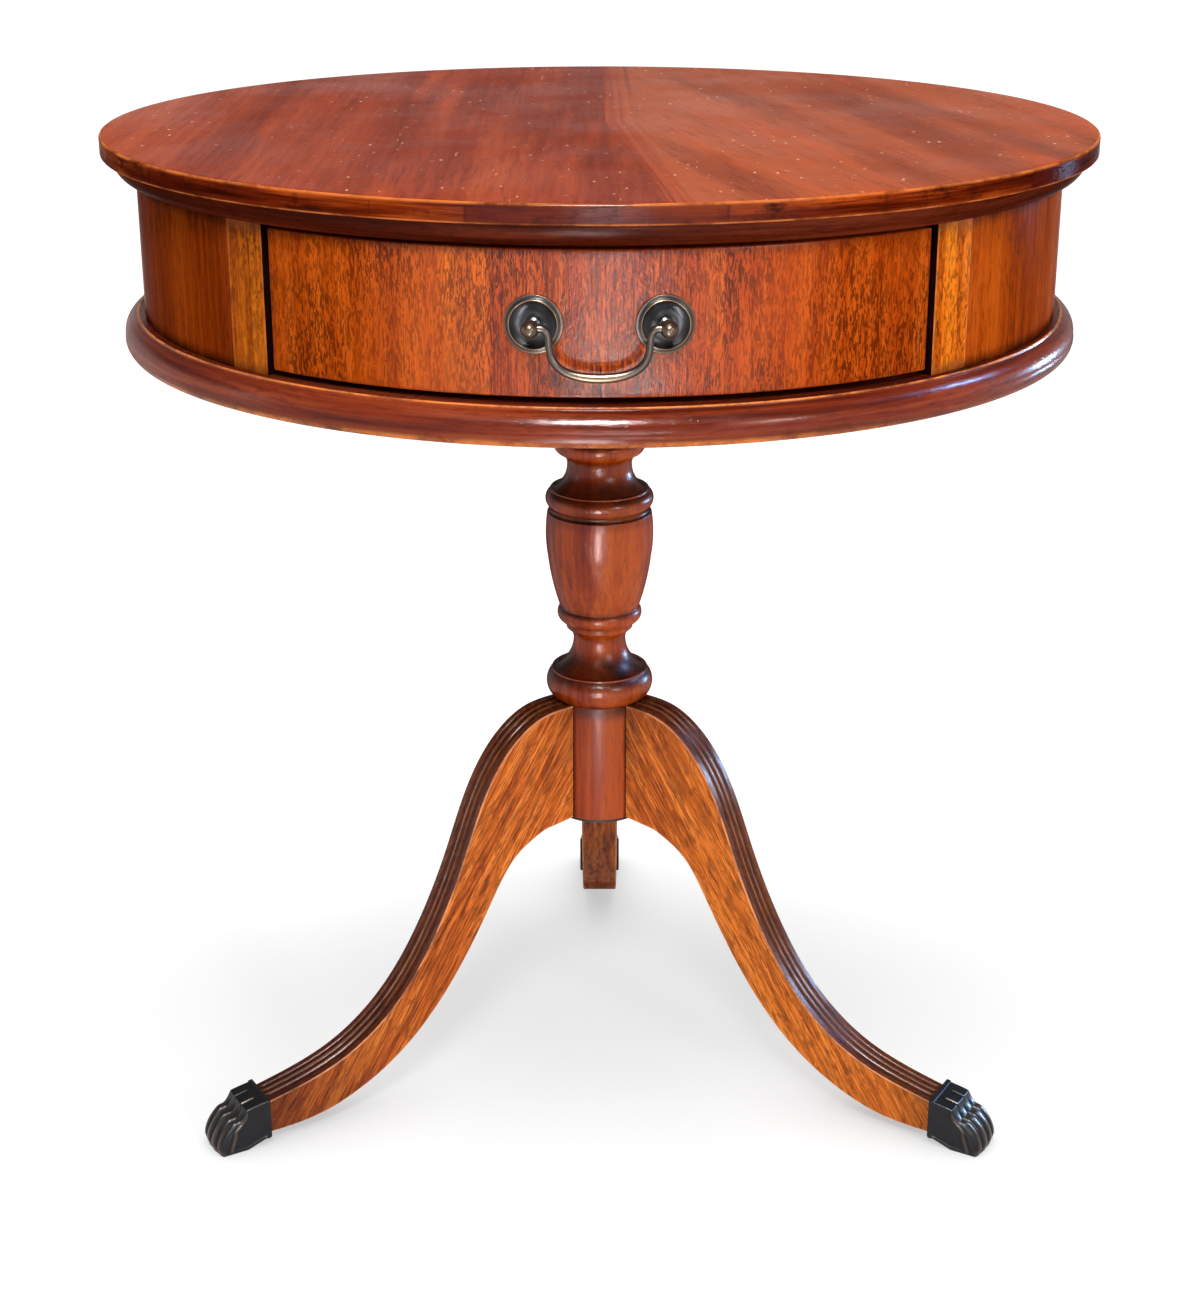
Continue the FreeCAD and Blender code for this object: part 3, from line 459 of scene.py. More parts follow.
# %% [markdown]
# ## Sabre legs
# A leg lies in one upright plane. Two smooth curves give its upper and lower edge; across the upper edge
# run three flutes between flat margins. At each station along the leg the section goes across the top,
# down one flat side, across the underside and up the other side, and flutes and rounded arrises are cut
# square to the curves.

# %% Leg curves
leg_reach = 290.0
upper_shares = ((-0.015, 1.0), (0.081, 0.987), (0.155, 0.950), (0.269, 0.822), (0.356, 0.638),
                (0.454, 0.455), (0.599, 0.280), (0.756, 0.180), (1.0, 0.114))
lower_shares = ((0.081, 0.675), (0.171, 0.626), (0.253, 0.524), (0.375, 0.345), (0.540, 0.176),
                (0.707, 0.079), (0.843, 0.038), (1.0, 0.027))


def leg_points(shares):
    """Points of the leg's plane from shares of its reach beyond the shaft and of the shoulder's height."""
    table = np.array(shares)
    return np.stack([shaft_radius + table[:, 0] * (leg_reach - shaft_radius), table[:, 1] * shoulder], -1)


def spline(points, count):
    """Cubic curve through all points with its second derivative continuous and zero at both ends."""
    t = np.r_[0, np.cumsum(np.linalg.norm(np.diff(points, axis=0), axis=1))]
    h = np.diff(t)
    n = len(t)
    system = np.eye(n)
    right = np.zeros(points.shape)
    inner = np.arange(1, n - 1)
    system[inner, inner - 1], system[inner, inner + 1] = h[:-1], h[1:]
    system[inner, inner] = 2 * (h[:-1] + h[1:])
    slope = np.diff(points, axis=0) / h[:, None]
    right[1:-1] = 6 * np.diff(slope, axis=0)
    bend = np.linalg.solve(system, right)
    u = np.linspace(0, t[-1], count)
    k = np.clip(np.searchsorted(t, u, "right") - 1, 0, n - 2)
    a, b, span = (t[k + 1] - u)[:, None], (u - t[k])[:, None], h[k][:, None]
    start, stop = points[k] / span - bend[k] * span / 6, points[k + 1] / span - bend[k + 1] * span / 6
    return (bend[k] * a ** 3 + bend[k + 1] * b ** 3) / (6 * span) + start * a + stop * b


def side_of(curve, sign):
    """Unit direction square to a curve, on the side picked by the sign."""
    tangent = np.gradient(curve, axis=0)
    normal = sign * np.stack([-tangent[:, 1], tangent[:, 0]], -1)
    return normal / np.linalg.norm(normal, axis=1, keepdims=True)


def at_stations(curve, count=260):
    """The curve read off at even shares of its list of points."""
    share, places = np.linspace(0, 1, count), np.linspace(0, 1, len(curve))
    return np.stack([np.interp(share, places, curve[:, k]) for k in (0, 1)], -1)


leg_upper = at_stations(even(spline(leg_points(upper_shares), 900), 1.0))
lower_curve = spline(leg_points(lower_shares), 900)
lower_curve = np.vstack([[(shaft_radius - 3.8, column_foot)], lower_curve])
leg_lower = at_stations(soften(even(lower_curve, 0.5), 1.2, 0.5))
print("leg curves:", len(leg_upper), "stations")

# %% Leg surface
flute_pitch, flute_half, flute_depth, leg_arris = 7.0, 2.6, 1.3, 1.0


def flute_cut(y):
    """Depth below the leg's upper edge: round-bottomed flutes at the middle and one pitch to each side."""
    nearest = np.clip(np.round(y / flute_pitch), -1, 1) * flute_pitch
    return flute_depth * np.sqrt(np.clip(1 - ((y - nearest) / flute_half) ** 2, 0, 1))


def eased(y, half, radius):
    """Drop of a rounded arris within one radius of the edge."""
    over = np.clip((np.abs(y) - (half - radius)) / radius, 0, 1)
    return radius * (1 - np.sqrt(1 - over ** 2))


def leg_grid():
    """Rows follow the leg along +X, columns go round its section: top, right side, underside, left side."""
    edge = leg_half - leg_arris * (1 - np.sin(np.linspace(0, math.pi / 2, 6)))
    across = np.r_[-edge[::-1], np.linspace(-13.6, 13.6, 93), edge]
    under = np.r_[-edge[::-1], np.linspace(-13.4, 13.4, 10), edge]
    down = np.r_[0.008, np.linspace(0, 1, 14)[1:-1], 0.992][None, :, None]
    stop = smooth_step(289.5, 286.0, leg_upper[:, None, :1])
    cut = flute_cut(across)[:, None] * stop + eased(across, leg_half, leg_arris)[:, None]
    top = leg_upper[:, None] - side_of(leg_upper, 1)[:, None] * cut
    low = leg_lower[:, None] - side_of(leg_lower, -1)[:, None] * eased(under, leg_half, leg_arris)[:, None]
    right = top[:, -1:] + (low[:, -1:] - top[:, -1:]) * down
    left = low[:, :1] + (top[:, :1] - low[:, :1]) * down
    plane = np.concatenate([top, right, low[:, ::-1], left], 1)
    x, z = plane[..., 0], plane[..., 1]
    quiet = np.zeros(down.size)
    flat = np.r_[across, quiet + leg_half, under[::-1], quiet - leg_half]
    taper = leg_half - (x - shaft_radius) / (leg_reach - shaft_radius)
    y = flat * taper / leg_half
    ridge = np.clip(1 - np.abs(np.abs(across) - 3.5) / 1.2, 0, 1) * 0.35
    corner = smooth_step(13.9, 14.8, np.abs(across))
    wear = np.r_[np.maximum(ridge, corner), quiet, smooth_step(13.0, 14.6, np.abs(under[::-1])), quiet]
    # Flute hollows take grime and painted shade; near the column the leg is painted darker as shade under the
    # torus, and it darkens towards the paw.
    hollow = np.r_[flute_cut(across) / flute_depth, quiet, 0 * under, quiet]
    shade_near_column = smooth_step(16.0, 0.0, x - shaft_radius) * 0.5 * (z > 250)
    near_toe = smooth_step(40.0, 2.0, leg_reach - x) * 0.6
    fluted = np.r_[across * 0 + 1, np.zeros(len(flat) - len(across))]
    return np.stack([x, y, z], -1), {"wear": np.broadcast_to(wear, x.shape),
                                     "dirt": np.maximum(hollow * 0.8, np.maximum(shade_near_column, near_toe)),
                                     "fluted": np.broadcast_to(fluted, x.shape)}


def turned(points, degrees):
    """Turn points about the upright axis."""
    c, s = math.cos(math.radians(degrees)), math.sin(math.radians(degrees))
    x, y, z = points[..., 0], points[..., 1], points[..., 2]
    return np.stack([c * x - s * y, s * x + c * y, z], -1)


grain_slope, board_shift = math.radians(-58), 700.0
plain_leg, leg_fields = leg_grid()
x, y, z = np.moveaxis(plain_leg, -1, 0)
along = x * math.cos(grain_slope) + z * math.sin(grain_slope)
across = z * math.cos(grain_slope) - x * math.sin(grain_slope)
for index, (name, direction) in enumerate(leg_directions.items()):
    grain = np.stack([across, y, along + board_shift * index], -1) * MM
    add_piece("sabre_leg_" + name, turned(plain_leg, direction), {"grain": grain, **leg_fields},
              "table", "leg_wood", "leg_" + name, crease=50)

# %% [markdown]
# ## Paw toe caps
# Each foot wears a cast paw: a collar, a box with two ridges on top, a concave step, and four rounded
# toes. The side outline is drawn once and carried across the paw's width; toes, ridges and grooves move
# each point square to the outline, and the nose is drawn back towards the sides to round it in plan. Each
# side is filled with ever smaller copies of the outline, lifted where a crest parts the box from the toes.

# %% Paw surface
claw_length, claw_height, claw_half = 42.0, 37.0, 17.0
claw_ease, collar_flare, ridge_at, nose_curve = 1.1, 0.045, 6.2, 62.0
toe_edges = np.array([-17.4, -9.6, 0.0, 9.6, 17.4])
claw_rows = (((0.30, 0.945),), ((0.44, 0.91),), ((0.50, 0.80), (0.60, 0.70)), ((0.69, 0.675),),
             ((0.93, 0.43), (1.00, 0.14)), ((0.97, 0.0),), ((0.45, 0.0),), ((0.0, 0.176),), ((0.0, 1.0),))


def paw_point(out, up):
    """A point of the side outline as shares of the paw's length and height."""
    return (out * claw_length, up * claw_height)


def collar_band(r):
    """One on the collar behind the box and zero in front of it."""
    return smooth_step(3.9, 3.2, r)


def paw_outline():
    """Side outline, closer over the top and the toes than below, with the direction square to it."""
    rows = [tuple(paw_point(*p) for p in row) for row in claw_rows]
    line = soften(draw(paw_point(0.0, 1.0), rows), 0.5)[:-1]
    spots = np.r_[np.linspace(0, 0.52, 150), np.linspace(0.53, 1, 40)[:-1]]
    index = (spots * (len(line) - 1)).astype(int)
    return line[index], side_of(soften(line, 1.0), 1)[index]


def paw_flank(rim):
    """Smaller and smaller copies of the rim; a crest parts the flat box behind from the toes ahead."""
    centre = np.array([claw_length * 0.5, claw_height * 0.4])
    rings = np.linspace(1, 0.03, 24)[1:, None]
    flank = centre + (rim - centre) * rings[..., None]
    up = flank[..., 1] / claw_height
    border = 0.46 + 0.20 * smooth_step(0.75, 0.45, up) + 0.10 * smooth_step(0.45, 0.0, up)
    ahead = flank[..., 0] - border * claw_length
    crest = bell(ahead, 0.0, 1.2) * smooth_step(1.0, 0.88, rings)
    toe_swell = 0.6 * smooth_step(0.5, 4.0, ahead) * smooth_step(1.0, 0.75, rings)
    box_dip = 0.4 * smooth_step(-2.0, -3.5, ahead) * smooth_step(0.92, 0.84, rings)
    side = claw_half * (1 + collar_flare * collar_band(flank[..., 0])) + 0.9 * crest + toe_swell - box_dip
    return flank, side, 0.7 * crest, 0.5 * bell(np.abs(ahead), 2.6, 0.9)


def paw_grid():
    """Rows go across the paw, columns follow its side outline; toes bulge as half ellipses."""
    line, normal = paw_outline()
    r, z = line[:, 0], line[:, 1]
    forward = r / claw_length
    edge = claw_half - claw_ease * (1 - np.sin(np.linspace(0, math.pi / 2, 6)))
    y = np.r_[-edge[::-1], np.linspace(-15.7, 15.7, 91), edge][:, None]
    facing = smooth_step(-0.35, 0.05, normal[:, 1] + normal[:, 0])
    toe_zone = smooth_step(0.44, 0.66, forward) * facing
    box_zone = smooth_step(0.50, 0.42, forward) * smooth_step(0.16, 0.22, forward) * (z > 25)
    which = np.clip(np.searchsorted(toe_edges, y) - 1, 0, 3)
    middle, width = (toe_edges[which] + toe_edges[which + 1]) / 2, np.diff(toe_edges)[which] / 2
    toe = np.sqrt(np.clip(1 - ((y - middle) / width) ** 2, 0.0, 1))
    knuckle = 0.55 * bell(forward, 0.72, 0.07) + 0.35 * bell(z / claw_height, 0.2, 0.14)
    ridge = 0.9 * bell(np.abs(y), ridge_at, 0.75) + 0.35 * smooth_step(6.6, 5.8, np.abs(y))
    bulge = toe_zone * ((toe - 1) * 2.6 + toe * knuckle * 0.9) + box_zone * ridge
    bulge = bulge - eased(y, claw_half, claw_ease) + 0.7 * collar_band(r) * (z > 0.5)
    plane = line + normal * bulge[..., None]
    plane[..., 1] = np.clip(plane[..., 1], 0.0, claw_height)
    plane[..., 0] = np.clip(plane[..., 0], 0.0, None)
    plane[..., 0] -= (nose_curve - np.sqrt(nose_curve ** 2 - y ** 2)) * smooth_step(0.3, 0.95, forward)
    wide = y * (1 + collar_flare * collar_band(r))
    wear = toe_zone * (smooth_step(0.80, 1.0, toe) * 0.6 + smooth_step(7.0, 1.0, z) * 0.7)
    wear = wear + box_zone * bell(np.abs(y), ridge_at, 0.6) * 0.6
    dirt = toe_zone * smooth_step(0.75, 0.2, toe)
    flank, side, rubbed, darkening = paw_flank(plane[-1])
    plane = np.concatenate([flank[::-1], plane, flank])
    wide = np.concatenate([-side[::-1], wide, side])
    wear = np.concatenate([rubbed[::-1], wear, rubbed])
    dirt = np.concatenate([darkening[::-1], dirt, darkening])
    grid = np.stack([leg_reach + plane[..., 0], wide, plane[..., 1]], -1)
    return grid, {"grain": grid * MM, "wear": np.clip(wear, 0, 1), "dirt": dirt}


plain_paw, paw_fields = paw_grid()
for name, direction in leg_directions.items():
    add_piece("paw_" + name, turned(plain_paw, direction), paw_fields,
              "table", "claw_bronze", "claw_" + name, crease=60)

# %% [markdown]
# ## The drawer pull
# Two stamped rosettes, two ball posts and a swinging bail. Rosettes and posts are turned shapes whose
# axis points straight out of the curved front. The bail is a round rod carried along a smooth bent line,
# thicker in the middle, where the fingers hold it.

# %% Rosettes and posts
pull_angle, pull_height = 6.856, 651.0
rosette_radius, rosette_height, ball_start = 17.5, 4.4, 11.0


def on_front(line, side):
    """Carry a section round an axis that leaves the drawer front at the pull's angle."""
    turn = full_turn(144)[:, None]
    a = math.radians(side * pull_angle)
    out = np.array([math.sin(a), -math.cos(a), 0])
    beside = np.array([math.cos(a), math.sin(a), 0])
    upward = np.array([0, 0, 1.0])
    foot = out * drum_radius + upward * pull_height
    r, h = line[:, :1, None], line[:, 1:2, None]
    return foot + r * (np.cos(turn) * beside + np.sin(turn) * upward) + h * out


def rosette_point(out, up):
    """A point of the rosette's section as shares of its radius and height."""
    return (out * rosette_radius, up * rosette_height)


rosette_line = section((2.0, -0.7), [
    ((17.3, -0.7),), ((rosette_radius, 0.9),), (rosette_point(0.985, 0.36),), (rosette_point(0.90, 0.40),),
    (rosette_point(0.885, 0.56),), (rosette_point(0.855, 0.58),), (rosette_point(0.85, 0.78),),
    (rosette_point(0.82, 0.99), rosette_point(0.785, 0.80)),
    (rosette_point(0.60, 0.38), rosette_point(0.36, 0.30)), ((2.0, 1.2),)],
    rounding=0.1, widest=0.6, bend=10, cavity=1.5)
post_line = section((0.3, -31.0), [
    ((2.3, -31.0),), ((2.6, -30.6),), ((2.6, 2.2),), ((4.6, 2.2),), ((4.7, 3.0), (4.4, 3.9)), ((3.0, 4.6),),
    ((2.6, 7.6), (3.3, 11.6)), ((5.3, 16.0), (3.2, 20.15)), ((2.0, 21.0), (0.3, 21.2))],
    rounding=0.15, widest=0.8, bend=8, cavity=1.5)
rubbed_ball = 0.55 * (post_line[:, 1:2] > ball_start)
pull_parts = (("backplate_", "rosette_", rosette_line, rosette_line[:, 2:3]),
              ("ball_post_", "post_", post_line, rubbed_ball))
for side, name in ((-1, "left"), (1, "right")):
    for title, solid, line, rubbed in pull_parts:
        grid = on_front(line, side)
        shape = grid.shape[:2]
        fields = {"grain": grid * MM, "wear": np.broadcast_to(rubbed, shape),
                  "dirt": np.broadcast_to(0.6 * line[:, 3:4], shape)}
        add_piece(title + name, grid, fields, "drawer", "pull_brass", solid + name, crease=60)

# %% Bail
ball_across, ball_out = 40.03, 332.80
half_way = np.array([
    (0.0, 0.0), (3.6, -0.5), (6.8, -0.5), (9.4, 1.4), (10.6, 5.0), (10.9, 9.4), (11.5, 13.6), (13.0, 17.8),
    (15.8, 21.6), (20.2, 24.8), (26.0, 27.0), (32.6, 28.2), (ball_across, 28.6)])
left_half = np.stack([half_way[:, 0] - ball_across, -half_way[:, 1]], -1)
bail_line = spline(np.vstack([left_half, (left_half * (-1, 1))[-2::-1]]), 240)
inward = side_of(bail_line, 1)
middle = np.abs(bail_line[:, :1])
grip = smooth_step(26.0, 4.0, middle)
rod = 2.4 + 0.5 * grip - 0.25 * bell(middle, 29.0, 1.2)
turn = full_turn(32)
swell = rod * np.cos(turn)
x = bail_line[:, :1] + inward[:, :1] * swell
z = bail_line[:, 1:] + inward[:, 1:] * swell + pull_height
y = rod * (1 - 0.12 * grip) * np.sin(turn) - ball_out
grid = np.stack([x, y, z], -1)
rubbed = (0.25 + 0.45 * smooth_step(24.0, 6.0, middle)) * (0.5 - 0.5 * np.sin(turn))
fields = {"grain": grid * MM, "wear": rubbed, "dirt": 0 * x}
add_piece("bail_handle", grid, fields, "bail", "pull_brass", "bail")

# %% [markdown]
# ## Writing materials
# A material is a small network of nodes. The helper below adds a node, links or sets its inputs and
# returns its first output, so a finish reads from top to bottom like a recipe.

# %% Node helper
class Finish:
    """The nodes of one material or world: each method adds a node and returns the socket to pass on."""

    def __init__(self, owner):
        owner.use_nodes = True
        self.owner, self.tree = owner, owner.node_tree
        self.tree.nodes.clear()

    def add(self, kind, values=(), **settings):
        node = self.tree.nodes.new(kind)
        for key, value in settings.items():
            setattr(node, key, value)
        for key, value in dict(values).items():
            if isinstance(value, bpy.types.NodeSocket):
                self.tree.links.new(value, node.inputs[key])
            else:
                node.inputs[key].default_value = value
        return node

    def field(self, name, vector=False):
        node = self.add("ShaderNodeAttribute", attribute_type="GEOMETRY", attribute_name=name)
        return node.outputs["Vector" if vector else "Fac"]

    def place(self):
        return self.add("ShaderNodeTexCoord").outputs["Object"]

    def part(self, vector, axis):
        return self.add("ShaderNodeSeparateXYZ", {0: vector}).outputs[axis]

    def stretch(self, vector, amounts, turn=(0, 0, 0), shift=(0, 0, 0)):
        values = {"Vector": vector, "Scale": amounts, "Rotation": turn, "Location": shift}
        return self.add("ShaderNodeMapping", values).outputs[0]

    def noise(self, vector, detail=2.0, roughness=0.5, distortion=0.0):
        values = {"Detail": detail, "Roughness": roughness, "Distortion": distortion}
        return self.add("ShaderNodeTexNoise", {"Vector": vector, "Scale": 1.0, **values}).outputs[0]

    def cellular(self, vector, feature="F1", output="Distance", jitter=1.0):
        values = {"Vector": vector, "Scale": 1.0, "Randomness": jitter}
        return self.add("ShaderNodeTexVoronoi", values, feature=feature).outputs[output]

    def range(self, value, low, high, to_low=0.0, to_high=1.0):
        values = {"Value": value, "From Min": low, "From Max": high, "To Min": to_low, "To Max": to_high}
        return self.add("ShaderNodeMapRange", values, interpolation_type="SMOOTHSTEP").outputs[0]

    def math(self, operation, a, b=0.0, clamp=False):
        return self.add("ShaderNodeMath", {0: a, 1: b}, operation=operation, use_clamp=clamp).outputs[0]

    def times(self, *values):
        result = values[0]
        for value in values[1:]:
            result = self.math("MULTIPLY", result, value)
        return result

    def mix(self, amount, a, b, kind="RGBA"):
        node = self.add("ShaderNodeMix", data_type=kind)
        first = 6 if kind == "RGBA" else 4
        for index, value in ((0, amount), (first, a), (first + 1, b)):
            if isinstance(value, bpy.types.NodeSocket):
                self.tree.links.new(value, node.inputs[index])
            else:
                node.inputs[index].default_value = value if index == 0 else (*value[:3], 1)
        return node.outputs[2 if kind == "RGBA" else 1]

    def ramp(self, value, stops):
        node = self.add("ShaderNodeValToRGB", {"Fac": value})
        while len(node.color_ramp.elements) < len(stops):
            node.color_ramp.elements.new(0.5)
        for element, (spot, colour) in zip(node.color_ramp.elements, stops):
            element.position, element.color = spot, (*colour, 1)
        return node.outputs[0]

    def bump(self, height, strength, distance, under=None):
        values = {"Height": height, "Strength": strength, "Distance": distance}
        if under is not None:
            values["Normal"] = under
        return self.add("ShaderNodeBump", values).outputs[0]

    def surface(self, **values):
        inputs = {key.replace("_", " "): value for key, value in values.items()}
        shader = self.add("ShaderNodeBsdfPrincipled", inputs)
        self.add("ShaderNodeOutputMaterial", {"Surface": shader.outputs[0]})
        return self.owner


def srgb(red, green, blue):
    """Colour read on a screen, 0 to 255, as the linear light that a shader takes."""
    c = np.array([red, green, blue]) / 255
    return tuple(float(v) for v in np.where(c <= 0.04045, c / 12.92, ((c + 0.055) / 1.055) ** 2.4))


# %% [markdown]
# ## Polished mahogany
# All the show wood is mahogany under old polish. The grain attribute gives each point its place in its
# own board: across, through and along the grain. Broad streaks, fine streaks, dark flecks and pores are
# noise stretched along the grain. Wear turns arrises pale and less glossy. Grime and painted shade darken
# hollows, gaps and faces under overhangs, read from one attribute. The old polish is full of fine cracks,
# so it shines when seen square on and dulls at a flat view; a bump gives its pores and uneven film.

# %% Mahogany recipe
# The darkest tone: for flecks and pores, for grime, and for painted shade.
DARKEST = (24, 8, 5)


def mahogany(name, dark, middle, light, broad=45.0, fine=260.0, fleck=0.5, fleck_size=(560, 75),
             fleck_wave=0.6, fleck_cut=(0.52, 0.62), pores=0.4, worn=(205, 105, 56), rough=0.24,
             skin_size=170, shine=0.10, fade=(0.22, 0.80), haze=0.0003, contrast=1.0, wear_gain=1.0,
             dirt_and_shade_gain=1.0, film=0.10, lay=None, tint=None):
    """Three tones picked by streaks, then flecks, pores, wear, and grime with painted shade; lay and tint add
    a piece's own.
    """
    m = Finish(bpy.data.materials.new(name))
    grain, place = m.field("grain", vector=True), m.place()
    if lay:
        grain = lay(m, grain)
    sway = m.stretch(m.noise(m.stretch(grain, (14, 14, 5))), (0.006, 0.0, 0.0))
    bent = m.add("ShaderNodeVectorMath", {0: grain, 1: sway}, operation="ADD").outputs[0]
    streak = m.noise(m.stretch(bent, (broad, broad, broad * 0.05)), 3, 0.55)
    thread = m.noise(m.stretch(bent, (fine, fine, fine * 0.035)), 4, 0.6)
    both = m.math("ADD", m.times(streak, 0.62), m.times(thread, 0.38))
    tone = m.range(both, 0.5 - 0.17 / contrast, 0.5 + 0.17 / contrast)
    colour = m.ramp(tone, [(0.0, srgb(*dark)), (0.5, srgb(*middle)), (1.0, srgb(*light))])
    if tint:
        colour = tint(m, colour, grain, place)
    wide, long = fleck_size
    spot = m.noise(m.stretch(bent, (wide, wide, long)), 2, 0.55, fleck_wave)
    spot = m.range(spot, *fleck_cut)
    zone = m.range(m.noise(m.stretch(grain, (22, 22, 9)), 2), 0.35, 0.62, 0.5, 1.0)
    pore = m.range(m.noise(m.stretch(bent, (1700, 1700, 110)), 1.5), 0.60, 0.72)
    deep = m.mix(0.72, colour, srgb(*DARKEST))
    colour = m.mix(m.times(spot, zone, fleck), colour, deep)
    colour = m.mix(m.times(pore, pores), colour, deep)
    patch = m.noise(m.stretch(place, (34, 34, 34)), 5, 0.65)
    wear = m.times(m.field("wear"), m.range(patch, 0.32, 0.60, 0.15, 1.0))
    wear = m.math("MULTIPLY", wear, wear_gain, clamp=True)
    colour = m.mix(wear, colour, srgb(*worn))
    # Grime and painted shade, from one attribute, mixed towards the darkest tone.
    darkening = m.times(m.field("dirt"), m.range(patch, 0.25, 0.7, 1.0, 0.55))
    darkening = m.math("MULTIPLY", darkening, dirt_and_shade_gain, clamp=True)
    colour = m.mix(darkening, colour, srgb(*DARKEST))
    smear = m.noise(m.stretch(place, (9, 9, 9)), 4, 0.6)
    gloss = m.range(smear, 0.3, 0.7, rough - 0.06, rough + 0.10)
    gloss = m.math("ADD", gloss, m.times(m.math("MAXIMUM", wear, darkening), 0.15))
    skin = m.noise(m.stretch(place, (skin_size,) * 3), 3)
    normal = m.bump(skin, film, 0.0008)
    relief = m.math("SUBTRACT", m.times(thread, 0.4), m.math("ADD", pore, m.times(spot, 0.7)))
    normal = m.bump(relief, 0.22, 0.00016, normal)
    flat_view = m.add("ShaderNodeLayerWeight", {"Blend": 0.5}).outputs["Facing"]
    polish = m.range(flat_view, *fade, shine, haze)
    return m.surface(Base_Color=colour, Roughness=gloss, Normal=normal, Specular_IOR_Level=polish)


# %% [markdown]
# ## Veneer on the top
# Two leaves meet near the middle of the top: on one side the streaks run straight back, on the other
# they lie aslant. The polish carries pale scratches and small white nicks, thicker in some places than
# in others. They are cell patterns, since scattering real dents would cost far more faces.

# %% Top finish
def right_leaf(m, grain):
    """The joint between the leaves runs straight behind and leans to the right in front."""
    lean = m.math("ADD", m.part(grain, 0), m.times(m.math("MINIMUM", m.part(grain, 2), 0.0), 0.1))
    return m.range(lean, 0.002, 0.030)


def top_leaves(m, grain):
    """Turn the grain of the leaf on the right by about a sixth of a right angle."""
    aslant = m.stretch(grain, (1, 1, 1), turn=(0, math.radians(14), 0), shift=(0.31, 0, 0.2))
    return m.mix(right_leaf(m, grain), grain, aslant, kind="VECTOR")


def top_nicks(m, colour, grain, place):
    """Paler right leaf, dark and bright streaks, and cell patterns cut down to dots and thin lines."""
    straight = m.field("grain", vector=True)
    leaf = right_leaf(m, straight)
    colour = m.mix(m.times(leaf, 0.5), colour, srgb(188, 100, 62))
    shade = m.noise(m.stretch(grain, (13, 13, 2.0)), 3)
    colour = m.mix(m.range(shade, 0.46, 0.70, 0.0, 0.5), colour, srgb(96, 30, 20))
    glow = m.noise(m.stretch(grain, (19, 19, 2.2), shift=(3.0, 0, 1.0)), 2)
    colour = m.mix(m.range(glow, 0.58, 0.72, 0.0, 0.6), colour, srgb(196, 80, 30))
    cells = m.stretch(place, (150, 58, 1), turn=(0, 0, 0.15))
    lucky = m.range(m.part(m.cellular(cells, output="Color"), 0), 0.66, 0.9)
    nick = m.times(m.range(m.cellular(cells), 0.20, 0.08), lucky)
    lines = m.range(m.cellular(m.stretch(place, (34, 90, 1), turn=(0, 0, 0.5))), 0.07, 0.02)
    cross = m.range(m.cellular(m.stretch(place, (220, 14, 1), turn=(0, 0, 0.35))), 0.07, 0.02)
    where = m.range(m.noise(m.stretch(straight, (6, 6, 6), shift=(0.3, 0, 0.1)), 2), 0.32, 0.52)
    marks = m.times(m.math("MAXIMUM", nick, m.math("MAXIMUM", lines, cross)), where, 0.85)
    return m.mix(marks, colour, srgb(236, 176, 140))


finishes = {"top_veneer": mahogany(
    "top veneer", (118, 38, 18), (152, 60, 32), (176, 80, 44), broad=20, fine=170, fleck=0.35, contrast=0.7,
    fleck_size=(420, 26), pores=0.3, lay=top_leaves, tint=top_nicks, worn=(232, 130, 70), film=0.05,
    haze=0.0014)}

# %% [markdown]
# ## Edge band, mouldings and drum
# The band round the top is pieced from short strips, each a little different: a cell pattern along the
# band gives every strip its own tone, and the middle of its front is painted dark, a painted reflection.
# The mouldings are darker, the ovolo under the top darkest, partly as painted shade under the overhang,
# and the drum is plain upright veneer. Drum and stiles are painted darker on the left, as shade.

# %% Edge, moulding and drum finishes
def strips(m, colour, grain, place):
    """Cells about a tenth of a metre long along the band choose a tone for each strip; the front middle is
    painted dark as a reflection.
    """
    straight = m.field("grain", vector=True)
    line = m.add("ShaderNodeCombineXYZ", {0: m.times(m.part(straight, 2), 8.5)}).outputs[0]
    pick = m.part(m.cellular(line, output="Color", jitter=0.8), 0)
    colour = m.mix(m.range(pick, 0.05, 0.95, 0.0, 0.8), colour, srgb(78, 18, 8))
    x, y = m.part(place, 0), m.part(place, 1)
    # Painted reflection: the middle of the band's front is darkened.
    front = m.times(m.range(x, -0.11, -0.05), m.range(x, 0.15, 0.10), m.range(y, 0.0, -0.1))
    colour = m.mix(m.times(front, 0.6), colour, srgb(74, 26, 22))
    joint = m.range(m.cellular(line, feature="DISTANCE_TO_EDGE", jitter=0.8), 0.006, 0.0, 0.0, 0.45)
    knot = m.range(m.noise(m.stretch(straight, (80, 80, 26)), 5, 0.65), 0.53, 0.66, 0.0, 0.85)
    return m.mix(m.math("MAXIMUM", joint, knot), colour, srgb(46, 12, 6))


def left_side_shade(m, colour, grain, place):
    """Painted shade: the left side is made darker than the right."""
    painted_shade = m.mix(0.42, colour, srgb(96, 32, 2))
    return m.mix(m.range(m.part(place, 0), -0.05, 0.05), painted_shade, colour)


finishes["edge_veneer"] = mahogany(
    "edge veneer", (40, 6, 1), (104, 32, 8), (184, 78, 24), broad=90, fine=420, fleck=0.4, shine=0.12,
    fade=(0.02, 0.12), worn=(240, 134, 66), rough=0.14, tint=strips, film=0.2, wear_gain=0.8)
# The moulding's worn colour is brighter than bare wood, partly a painted highlight on the lower edge.
finishes["moulding_wood"] = mahogany(
    "moulding wood", (72, 20, 8), (118, 42, 20), (150, 64, 34), broad=70, fleck=0.45, fade=(0.15, 0.95),
    worn=(244, 138, 64), dirt_and_shade_gain=0.8, film=0.14, shine=0.17, rough=0.2)
